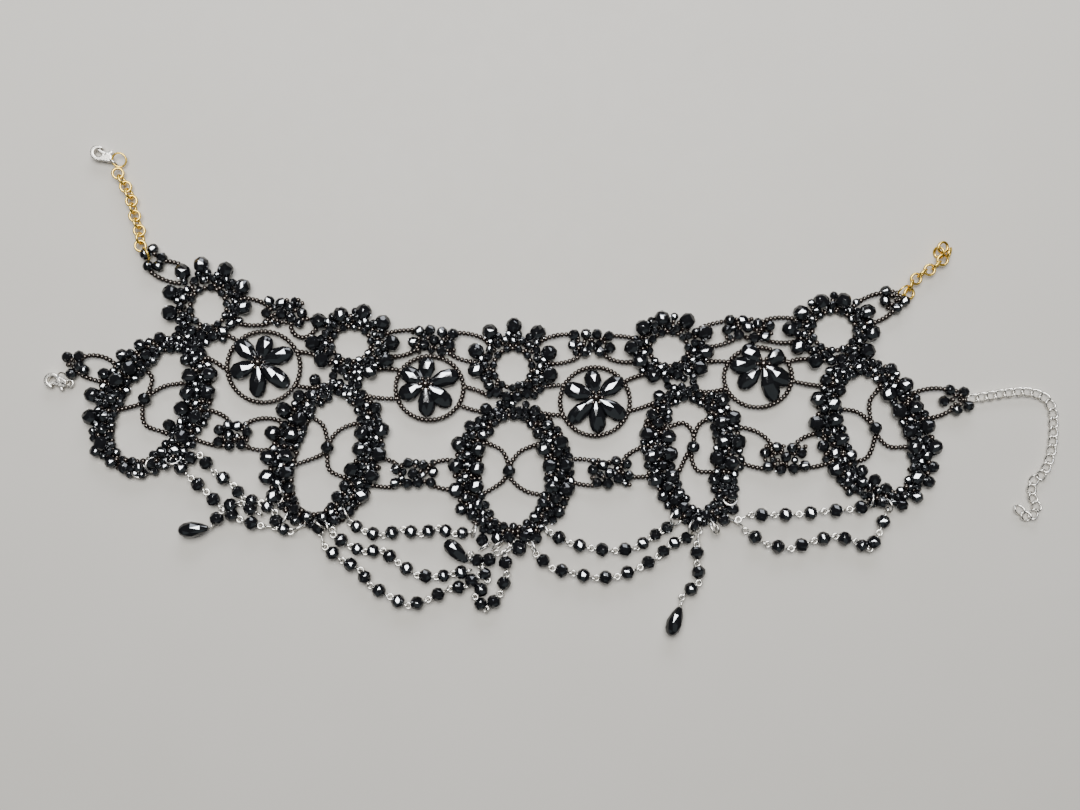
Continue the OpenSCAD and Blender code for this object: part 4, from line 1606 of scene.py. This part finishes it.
@dataclass
class Ends:
    """The small bunches of beads at the collar's four corners and the seed strings that hold them."""

    # Each bunch's large beads, in pixels
    bunches: tuple[tuple[str, tuple[Point, ...]], ...] = (
        ("upper_left", ((145, 254), (153, 249), (148, 266), (158, 266), (162, 258))),
        ("lower_left", ((67, 357), (79, 356), (79, 366), (71, 374), (84, 370))),
        ("upper_right", ((886, 291), (885, 301), (897, 308), (905, 301))),
        ("lower_right", ((950, 390), (964, 392), (944, 401), (957, 410), (969, 406))),
    )
    left: tuple[Tie, ...] = (
        (-157.4, 51.6, -148.0, 50.0, 0.8), (-161.0, 48.6, -147.4, 43.4, -1.9),
        (-188.0, 12.6, -174.6, 9.6, 2.7), (-189.0, 7.0, -172.6, 3.0, -1.4),
    )
    right: tuple[Tie, ...] = (
        (120.4, 32.4, 135.0, 38.6, 2.2), (126.3, 27.0, 137.4, 33.0, -1.6),
        (143.0, -3.0, 160.4, -1.0, 2.7), (146.0, -10.2, 160.4, -6.8, -2.2),
    )
    bead: float = 4.5
    lift: float = 0.1
    heading: float = 0.3
    wobble: float = 0.8
    # Seeds set round a bunch's middle: tries round it, and for each ring its radius and height
    seed_tries: int = 12
    seed_rings: tuple[Point, ...] = ((1.6, 1.4), (3.6, 1.6), (2.0, 3.8))
    seed_bead: float = 2.0
    seed_close: float = 0.84
    seed_wobble: float = 0.7
    chance: int = 80
    loop_chance: int = 90

    def build(self, bench: Bench) -> None:
        """Makes the bunches and their strings.

        Args:
            bench: What they are made with.
        """
        for i, (name, spots) in enumerate(self.bunches):
            piece = bench.cut(f"end_bunch_{name}", self.chance + i)
            places = [on_photo(x, y, self.bead / 2.0 + self.lift) for x, y in spots]
            for place in places:
                piece.bead(Cut.ROUND, place, self.bead, self.heading, 0, self.wobble)
            middle = sum(places, Vector()) / len(places)
            for k in range(self.seed_tries):
                angle = FULL_TURN * k / self.seed_tries
                for out, z in self.seed_rings:
                    spot = middle + aimed(angle, out)
                    spot.z = z
                    if piece.room(spot, self.seed_bead / 2.0, self.seed_close):
                        piece.bead(Cut.SEED, spot, self.seed_bead, angle, 1, self.seed_wobble)
            piece.finish(f"end_cluster_{name}")
        for name, rows in (("left", self.left), ("right", self.right)):
            piece = bench.strung(f"end_{name}_loop_seeds", self.loop_chance)
            for row in rows:
                bench.strings.string(piece, bowed(*row, bench.strings.height))
            piece.finish(f"end_loops_{name}")


@dataclass
class Swags:
    """Chains of beads on plated wire pins with an eye at each end, and the rings that carry them."""

    # Each bay's chains: the pins' eyes across and along, and 1 where a bead sits before the next eye
    strands: tuple[tuple[tuple[Spot, ...], ...], ...] = (
        (
            (
                (-147.6, -28.6, 1), (-141.0, -25.4, 1), (-135.2, -32.5, 1), (-127.4, -37.6, 1),
                (-123.4, -43.4, 1), (-116.4, -44.6, 1), (-110.8, -48.2, 1), (-109.6, -56.0, 0),
            ),
            (
                (-151.8, -27.4, 1), (-144.6, -34.8, 1), (-138.4, -40.2, 1), (-132.2, -46.8, 1),
                (-124.6, -44.8, 1), (-116.3, -49.6, 0),
            ),
            (
                (-103.8, -56.6, 1), (-110.4, -54.6, 0), (-115.8, -54.2, 1), (-124.2, -51.8, 1),
                (-131.6, -47.6, 1), (-136.2, -54.8, 0),
            ),
        ),
        (
            (
                (-81.0, -52.6, 1), (-75.0, -56.2, 1), (-67.8, -58.2, 1), (-59.8, -55.4, 1), (-52.6, -57.6, 1),
                (-45.8, -54.8, 1), (-39.0, -57.4, 1), (-32.2, -56.6, 0),
            ),
            (
                (-87.6, -55.3, 0), (-87.8, -57.4, 1), (-80.6, -62.2, 1), (-75.0, -64.6, 1), (-67.8, -63.8, 1),
                (-61.8, -68.6, 1), (-54.2, -73.8, 1), (-46.6, -74.6, 1), (-39.8, -73.4, 1), (-32.6, -71.8, 0),
            ),
            (
                (-92.6, -56.4, 0), (-91.0, -62.2, 1), (-84.2, -67.8, 1), (-76.6, -71.4, 1), (-73.0, -77.8, 1),
                (-65.0, -82.2, 1), (-57.8, -86.2, 1), (-49.8, -83.8, 1), (-41.0, -79.4, 1), (-33.4, -78.2, 0),
            ),
            (
                (-15.6, -60.6, 0), (-19.0, -64.6, 1), (-17.8, -73.0, 1), (-20.2, -81.0, 1), (-25.8, -87.8, 1),
                (-31.0, -83.0, 1), (-25.4, -76.2, 1), (-27.8, -70.6, 1), (-32.2, -65.0, 0), (-33.0, -67.4, 0),
            ),
            ((-21.4, -64.6, 1), (-28.4, -70.6, 0)),
            ((-28.2, -73.4, 1), (-35.6, -78.4, 0)),
        ),
        (
            (
                (-1.0, -56.6, 1), (7.0, -61.0, 1), (15.4, -63.0, 1), (25.0, -64.2, 1), (33.8, -63.0, 1),
                (39.4, -59.0, 1), (43.8, -56.2, 1), (48.6, -53.4, 0),
            ),
            (
                (-8.8, -60.2, 0), (-6.6, -65.0, 1), (-0.2, -71.0, 1), (8.2, -73.0, 1), (17.4, -75.0, 1),
                (25.8, -74.6, 1), (35.0, -71.0, 1), (42.4, -66.6, 1), (47.2, -62.0, 1), (51.4, -59.8, 1),
                (56.6, -58.2, 0),
            ),
            (
                (59.2, -55.6, 0), (58.2, -61.0, 1), (58.2, -68.6, 1), (59.4, -76.6, 1), (52.2, -82.2, 0),
                (51.5, -86.0, 0),
            ),
        ),
        (
            (
                (74.2, -51.8, 0), (79.4, -49.8, 1), (88.6, -49.8, 1), (98.6, -49.5, 1), (108.6, -48.4, 1),
                (118.8, -47.6, 1), (128.6, -46.0, 0),
            ),
            (
                (77.0, -55.8, 1), (85.8, -61.4, 1), (95.4, -63.4, 1), (104.6, -60.2, 1), (113.0, -58.2, 1),
                (121.4, -60.2, 1), (127.0, -63.8, 1), (131.0, -57.4, 1), (134.4, -47.4, 0),
            ),
        ),
    )
    # Rings at the ovals' lower ends that stand on edge: both ends of what the picture shows, in pixels
    standing: tuple[tuple[tuple[float, float, float, float], ...], ...] = (
        ((278.0, 482.0, 285.0, 499.0), (288.0, 512.0, 283.0, 524.4)),
        (
            (290.0, 532.0, 308.4, 523.5), (315.0, 520.6, 324.6, 527.3), (326.6, 522.5, 329.4, 531.0),
            (343.8, 508.2, 349.5, 518.7), (475.3, 524.3, 472.7, 537.4), (479.7, 549.7, 490.2, 543.5),
        ),
        (
            (492.0, 549.7, 503.3, 541.8), (502.4, 554.9, 513.8, 547.9), (530.4, 540.9, 535.7, 553.2),
            (543.5, 524.3, 549.6, 537.4),
        ),
        (
            (708.7, 518.2, 715.7, 533.9), (729.0, 518.8, 742.7, 526.1), (871.0, 491.4, 868.5, 507.5),
            (884.7, 497.9, 889.5, 512.4),
        ),
    )
    # Rings that lie nearly flat: pixels across and down, tilt in degrees and the tilt's direction
    lying: tuple[tuple[tuple[float, float, float, float], ...], ...] = (
        ((139.5, 471.0, 18.0, 40.0), (153.0, 465.0, 38.0, 90.0), (173.5, 459.0, 48.0, 180.0)),
        ((276.0, 497.0, 30.0, 100.0),),
        ((675.7, 518.6, 36.0, 80.0),),
        ((691.8, 527.0, 60.0, 75.0), (714.6, 527.5, 60.0, 120.0), (730.0, 498.7, 30.0, 180.0)),
    )
    bead: float = 5.4
    bead_wobble: float = 0.08
    # A bead has its full size on a pin of this length or more, and on a shorter one down to this share of it
    full_pin: float = 7.6
    least_share: float = 0.9
    pin_radius: float = 0.4
    pin_sides: int = 6
    eye: float = 1.14
    eye_wire: float = 0.86
    eye_offset: float = 0.56
    lean: float = 0.25
    height: float = 2.5
    ring: float = 2.8
    ring_rise: float = 0.4
    ring_rolls: Point = (1.2, 1.5)
    # How far a lying ring's wire reaches past its radius, how far its lower side stays above the table, and
    # the least height of its middle
    lying_edge: float = 0.35
    lying_rise: float = 0.5
    lying_height: float = 3.0
    chance: int = 100
    wire_chance: int = 110

    def strand(self, beads: Piece, wires: Piece, rows: Sequence[Spot], eye: bpy.types.Mesh) -> None:
        """Makes one chain.

        Args:
            beads: The piece that takes the beads.
            wires: The piece that takes the pins.
            rows: The pins' eyes, and whether a bead sits before the next.
            eye: The eye's mesh.
        """
        for (x1, y1, beaded), (x2, y2, _) in zip(rows, rows[1:]):
            start = Vector((x1, y1, self.height))
            stop = Vector((x2, y2, self.height))
            run = stop - start
            way = run.normalized()
            heading = math.atan2(run.y, run.x)
            offset = min(self.eye_offset, run.length / 4.0)
            lean = wires.chance.uniform(-self.lean, self.lean)
            wires.copy_in(eye, posed(start + way * offset, heading, lean))
            wires.copy_in(eye, posed(stop - way * offset, heading, lean + QUARTER_TURN))
            reach = offset + self.eye
            middle = (start + stop) / 2.0
            line = [start + way * reach, middle, stop - way * reach]
            tube(wires, line, self.pin_radius, self.pin_sides, 0)
            if beaded:
                size = self.bead * min(1.0, max(self.least_share, run.length / self.full_pin))
                beads.bead(Cut.RONDELLE, middle, size, heading, 0, self.bead_wobble)

    def rings(self, wires: Piece, bay: int, ring: bpy.types.Mesh) -> None:
        """Hangs the rings at the lower ends of the ovals.

        Args:
            wires: The piece that takes them.
            bay: Which of the four bays they are in.
            ring: A ring's mesh.
        """
        for x1, y1, x2, y2 in self.standing[bay]:
            one = on_photo(x1, y1, self.ring + self.ring_rise)
            two = on_photo(x2, y2, self.ring + self.ring_rise)
            run = two - one
            roll = wires.chance.uniform(*self.ring_rolls)
            wires.copy_in(ring, posed((one + two) / 2.0, math.atan2(run.y, run.x), roll))
        for x, y, tilt, toward in self.lying[bay]:
            rise = (self.ring + self.lying_edge) * math.sin(math.radians(tilt)) + self.lying_rise
            spot = on_photo(x, y, max(rise, self.lying_height))
            wires.copy_in(ring, posed(spot, math.radians(toward), math.radians(tilt)))

    def build(self, bench: Bench) -> None:
        """Makes the four bays of swags.

        Args:
            bench: What they are made with.
        """
        eye = bench.wire.ring(self.eye, thickness=self.eye_wire)
        ring = bench.wire.ring(self.ring)
        for i, bay in enumerate(self.strands):
            beads = bench.plain(f"swag_{i + 1}_cut_beads", Slot.JET, bench.palette.jet, self.chance + i)
            wires = bench.plain(
                f"swag_{i + 1}_eye_pins", Slot.SILVER, bench.palette.silver, self.wire_chance + i
            )
            for rows in bay:
                self.strand(beads, wires, rows, eye)
            self.rings(wires, i, ring)
            beads.finish(f"swag_beads_{i + 1}")
            wires.finish(f"swag_wires_{i + 1}")


@dataclass
class Drops:
    """Cut glass drops that end the swags."""

    # Each drop's tip across and along, and the way it points in degrees
    rows: tuple[Spot, ...] = ((-137.0, -55.0, 184.6), (-33.6, -68.4, 137.0), (51.4, -86.5, 249.5))
    length: float = 12.0
    width: float = 6.5
    roundness: float = 0.08
    # Share of the length from the tip, and share of the half width there
    profile: tuple[Point, ...] = (
        (0.0, 0.18), (0.03, 0.36), (0.25, 0.74), (0.55, 1.0), (0.8, 0.92), (0.94, 0.62), (1.0, 0.3),
    )
    chance: int = 120

    def build(self, bench: Bench) -> None:
        """Makes the three drops.

        Args:
            bench: What they are made with.
        """
        profile = [(a * self.length, r * self.width / 2.0) for a, r in self.profile]
        mesh = cut_drop("drop", profile, profile, bench.box.drop_sides)
        for i, (x, y, heading) in enumerate(self.rows):
            chance = self.chance + i
            piece = bench.plain(f"drop_{i + 1}_cut", Slot.JET, bench.palette.jet, chance, self.roundness)
            piece.copy_in(mesh, posed(Vector((x, y, self.width / 2.0)), math.radians(heading), 0.0))
            piece.finish(f"drop_{i + 1}")


@dataclass
class Extender:
    """The curb chain at the right end, of twisted links, so that it lies flat and its eyes look round."""

    # The chain's middle line
    line: tuple[Point, ...] = (
        (169.0, -3.2), (175.4, -2.2), (183.0, -1.0), (190.6, -0.6), (197.4, -2.6), (200.8, -7.4),
        (201.3, -14.0), (201.0, -21.0), (199.6, -28.0), (197.0, -33.4), (193.4, -36.2), (192.6, -41.6),
        (194.6, -47.2), (191.4, -50.8), (187.6, -47.8),
    )
    pitch: float = 3.6
    radius: float = 1.7
    stretch: float = 0.95
    thickness: float = 0.9
    # Twist from a link's middle to its end, and how much its roll varies, in radians
    twist: float = 0.65
    play: float = 0.12
    height: float = 1.3
    chance: int = 130

    def build(self, bench: Bench) -> None:
        """Makes the chain.

        Args:
            bench: What they are made with.
        """
        piece = bench.plain("extender_links", Slot.SILVER, bench.palette.silver, self.chance)
        link = bench.wire.ring(self.radius, self.stretch, self.thickness)
        reach = self.radius + self.stretch / 2.0
        for vertex in link.vertices:
            vertex.co = Matrix.Rotation(self.twist * vertex.co.x / reach, 3, "X") @ vertex.co
        run = smooth_run([Vector((x, y, self.height)) for x, y in self.line])
        for spot, heading in spread(run, self.pitch):
            piece.copy_in(link, posed(spot, heading, piece.chance.uniform(-self.play, self.play)))
        piece.finish("extender_chain")


@dataclass
class GoldChains:
    """Two short chains of round gilt links at the neck edge, with the single rings at their ends."""

    # The chains' middle lines, in pixels
    left: tuple[Point, ...] = (
        (140.5, 246), (139.5, 230.8), (134.5, 214.7), (130.7, 197.6), (124.2, 184), (118, 173.4),
    )
    right: tuple[Point, ...] = ((909, 293.5), (912.6, 283), (922.3, 273.3), (933, 268), (942.5, 260))
    # Rings set one by one: pixels across and down, height, radius, heading and roll in degrees
    left_rings: tuple[tuple[float, ...], ...] = (
        (118.9, 159.8, 2.2, 2.75, 20.0, 14.0),
        (146.5, 254.0, 3.0, 2.7, -62.0, 62.0),
    )
    right_rings: tuple[tuple[float, ...], ...] = (
        (943.0, 247.4, 2.5, 2.1, 60.0, 16.0),
        (948.6, 253.6, 3.2, 2.1, 70.0, 66.0),
        (939.4, 252.4, 1.9, 2.1, 110.0, -50.0),
        (903.0, 291.0, 3.0, 2.7, 35.0, 58.0),
    )
    pitch: float = 3.06
    radius: float = 2.05
    stretch: float = 0.1
    thickness: float = 1.1
    # Single rings from this radius on are of thinner wire
    thin_from: float = 2.5
    ring_thickness: float = 0.85
    height: float = 2.65
    # Rolls that take turns along a chain, and how much they vary, in radians
    rolls: Point = (0.2, 1.3)
    play: float = 0.12
    chance: int = 140

    def build(self, bench: Bench) -> None:
        """Makes both chains.

        Args:
            bench: What they are made with.
        """
        link = bench.wire.ring(self.radius, self.stretch, self.thickness)
        sides = (("left", self.left, self.left_rings), ("right", self.right, self.right_rings))
        for name, line, rings in sides:
            piece = bench.plain(f"gilt_links_{name}", Slot.GILT, bench.palette.gilt, self.chance)
            run = smooth_run([on_photo(x, y, self.height) for x, y in line])
            for k, (spot, heading) in enumerate(spread(run, self.pitch)):
                roll = self.rolls[k % 2] + piece.chance.uniform(-self.play, self.play)
                piece.copy_in(link, posed(spot, heading, roll))
            for x, y, z, radius, heading, roll in rings:
                thickness = self.thickness if radius < self.thin_from else self.ring_thickness
                place = posed(on_photo(x, y, z), math.radians(heading), math.radians(roll))
                piece.copy_in(bench.wire.ring(radius, 0.0, thickness), place)
            piece.finish(f"gold_chain_{name}")


@dataclass
class MetalEnds:
    """The clasps' CAD shapes with polished edges and hooks drawn closed, and the lower clasp's ring."""

    kept: tuple[str, ...] = ("clasp_ring",)
    rounded: tuple[tuple[str, str], ...] = (
        ("upper_clasp", "collar"),
        ("upper_clasp_lever", "upper_clasp_lever"),
        ("lower_clasp", "collar"),
        ("lower_clasp_lever", "lower_clasp_lever"),
    )
    # The pivot of each clasp's lever in millimetres, and the clasp's roll and turn in degrees
    clasps: tuple[tuple[str, tuple[float, ...]], ...] = (
        ("upper_clasp", (-177.5, 93.6, 1.75, 180.0, 146.0)),
        ("lower_clasp", (-196.0, 2.7, 1.6, 0.0, 174.0)),
    )
    # Middle of a hook, from the pivot
    hook: Point = (4.0, -0.8)
    # Where a hook's end starts and stops round that middle in degrees, where it stops once it is bent, and
    # how far past its stop it is still taken along
    hook_start: float = 15.0
    hook_end: float = 57.0
    hook_closed: float = 86.0
    hook_margin: float = 15.0
    # How much nearer to the middle it comes where it stops
    hook_pinch: float = 0.16
    # Vertices of the CAD nearer than this are one, and the voxels that remesh it are of this size
    merge: float = 0.002
    grain: float = 0.13
    smoothing: float = 0.5
    passes: int = 4
    swell: float = 0.12

    def close_hook(self, mesh: bpy.types.Mesh, place: tuple[float, ...]) -> None:
        """Draws the end of a clasp's hook round to its lever, so that the loop looks closed.

        Args:
            mesh: The clasp's mesh, in metres.
            place: Its pivot in millimetres, its roll and its turn in degrees.
        """
        x, y, z, roll, turn = place
        pivot = posed(Vector((x, y, z)) * MM, math.radians(turn), math.radians(roll))
        there = pivot @ Matrix.Translation(Vector((*self.hook, 0.0)) * MM)
        back = there.inverted()
        growth = (self.hook_closed - self.hook_start) / (self.hook_end - self.hook_start)
        for vertex in mesh.vertices:
            spot = back @ vertex.co
            angle = math.degrees(math.atan2(spot.y, spot.x))
            if self.hook_start < angle < self.hook_end + self.hook_margin:
                past = (angle - self.hook_start) / (self.hook_end - self.hook_start)
                reach = math.hypot(spot.x, spot.y) * (1.0 - self.hook_pinch * past)
                angle = math.radians(self.hook_start + growth * (angle - self.hook_start))
                vertex.co = there @ aimed(angle, reach, spot.z)

    def polished(self, node: bpy.types.Object, body: str, palette: Palette) -> None:
        """Makes a copy of a node with the rounded edges of a cast and polished piece.

        Args:
            node: The CAD node.
            body: The body that it rides on.
            palette: The finishes.
        """
        bm = bmesh.new()
        bm.from_mesh(node.data)
        bmesh.ops.remove_doubles(bm, verts=bm.verts, dist=self.merge * MM)
        bmesh.ops.recalc_face_normals(bm, faces=bm.faces)
        rough = mesh_from(bm, "rough_casting")
        casting = add_object("rough_casting", rough)
        skin = casting.modifiers.new("skin", "REMESH")
        skin.mode = "VOXEL"
        skin.voxel_size = self.grain * MM
        polish = casting.modifiers.new("polish", "SMOOTH")
        polish.factor = self.smoothing
        polish.iterations = self.passes
        swell = casting.modifiers.new("swell", "DISPLACE")
        swell.strength = self.swell * MM
        swell.mid_level = 0.0
        depsgraph = bpy.context.evaluated_depsgraph_get()
        mesh = bpy.data.meshes.new_from_object(casting.evaluated_get(depsgraph))
        bpy.data.objects.remove(casting)
        bpy.data.meshes.remove(rough)
        mesh.name = f"{node.name}_polished"
        mesh.materials.clear()
        mesh.materials.append(palette.silver)
        mesh.shade_smooth()
        for name, place in self.clasps:
            if name == node.name:
                self.close_hook(mesh, place)
        for vertex in mesh.vertices:
            vertex.co.z = max(vertex.co.z, 0.0)
        made = add_object(f"{node.name}_polished", mesh)
        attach(made, body)
        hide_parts(node.name)
        LOG.info("%s: %d faces for %s", made.name, len(mesh.polygons), node.name)

    def dress(self, nodes: dict[str, bpy.types.Object], palette: Palette) -> None:
        """Gives the nodes their finish.

        Args:
            nodes: The CAD nodes by name.
            palette: The finishes.
        """
        for name in self.kept:
            for slot in nodes[name].material_slots:
                slot.material = palette.silver
            LOG.info("%s: keeps its CAD shape in %s", name, palette.silver.name)
        for name, body in self.rounded:
            self.polished(nodes[name], body, palette)


@dataclass(frozen=True)
class Lamp:
    """A soft area light that faces the collar: place and size in metres, power in watts, sRGB colour."""

    name: str
    place: Spot
    size: Point
    power: float
    colour: str

    def build(self) -> bpy.types.Object:
        """Makes the light.

        Returns:
            Its object.
        """
        data = bpy.data.lights.new(self.name, "AREA")
        data.shape = "RECTANGLE"
        data.size, data.size_y = self.size
        data.energy = self.power
        data.color = linear(self.colour)[:3]
        made = add_object(self.name, data)
        made.location = self.place
        made.rotation_euler = (-Vector(self.place)).to_track_quat("-Z", "Y").to_euler()
        return made

    def build_for(self, finishes: Sequence[bpy.types.Material]) -> None:
        """Makes the light fall on some finishes alone, so that they stay bright beside a pale table.

        Args:
            finishes: The finishes of the pieces that it lights.
        """
        lit = bpy.data.collections.new(f"lit_by_{self.name}")
        for made in bpy.context.scene.objects:
            if made.type == "MESH" and made.data.materials and made.data.materials[0] in finishes:
                lit.objects.link(made)
        self.build().light_linking.receiver_collection = lit


@dataclass
class Studio:
    """Plain pale table, soft light from a window and a camera straight above, as in the picture."""

    windows: tuple[Lamp, ...] = (
        Lamp("high_window", (-0.05, 0.36, 0.95), (0.8, 0.6), 13.0, "#fbfaf7"),
        Lamp("low_window", (0.14, 1.15, 0.5), (0.9, 0.34), 9.0, "#f0f5ff"),
    )
    glass_lamps: tuple[Lamp, ...] = (
        Lamp("glass_window", (-0.05, 0.34, 0.93), (0.7, 0.5), 100.0, "#f6faff"),
        Lamp("glass_room", (0.2, -0.7, 0.8), (2.4, 1.0), 4.0, "#cfe0e4"),
    )
    metal_lamps: tuple[Lamp, ...] = (
        Lamp("metal_window", (0.0, 0.2, 0.95), (1.0, 0.8), 11.0, "#fffdf8"),
    )
    room_colour: str = "#e9edf2"
    room_strength: float = 0.12
    lens: float = 38.0
    sensor: float = 36.0
    # The picture's middle in pixels, and the width that it shows
    middle: Point = (540.0, 405.0)
    picture_width: float = 432.0
    focus_height: float = 2.5
    # Nearest that the camera sees, and the table's width, in metres
    clip_start: float = 0.01
    table: float = 14.0

    def camera(self) -> None:
        """Sets the camera above the middle of the picture."""
        data = bpy.data.cameras.new("above")
        data.lens = self.lens
        data.sensor_width = self.sensor
        data.clip_start = self.clip_start
        made = add_object("above", data)
        distance = self.picture_width * self.lens / self.sensor
        made.location = on_photo(*self.middle, self.focus_height + distance) * MM
        bpy.context.scene.camera = made

    def build(self, palette: Palette) -> None:
        """Makes the table, the windows, the room's own light and the camera.

        Args:
            palette: The finishes.
        """
        bm = bmesh.new()
        bmesh.ops.create_grid(bm, x_segments=1, y_segments=1, size=self.table / 2.0)
        mesh = mesh_from(bm, "table")
        mesh.materials.append(palette.board)
        table = add_object("table", mesh)
        for lamp in self.windows:
            lamp.build()
        world = bpy.data.worlds.new("room")
        world.use_nodes = True
        settings = world.node_tree.nodes["Background"].inputs
        settings["Color"].default_value = linear(self.room_colour)
        settings["Strength"].default_value = self.room_strength
        bpy.context.scene.world = world
        self.camera()

    def sparkle(self, palette: Palette) -> None:
        """Adds the lights whose reflections the glass and the metal show.

        Args:
            palette: The finishes.
        """
        for lamp in self.glass_lamps:
            lamp.build_for((palette.jet, palette.seed))
        for lamp in self.metal_lamps:
            lamp.build_for((palette.silver, palette.gilt))


def main() -> None:
    """Builds the collar's sub-assemblies in order."""
    logging.basicConfig(level=logging.INFO, format="%(message)s")
    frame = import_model()
    bench = Bench()
    studio = Studio()
    studio.build(bench.palette)
    parts = (Crowns, Ovals, Rosettes, Bridges, Ends, Swags, Drops, Extender, GoldChains)
    for part in parts:
        part().build(bench)
    MetalEnds().dress(frame["nodes"], bench.palette)
    studio.sparkle(bench.palette)


if __name__ == "__main__":
    main()
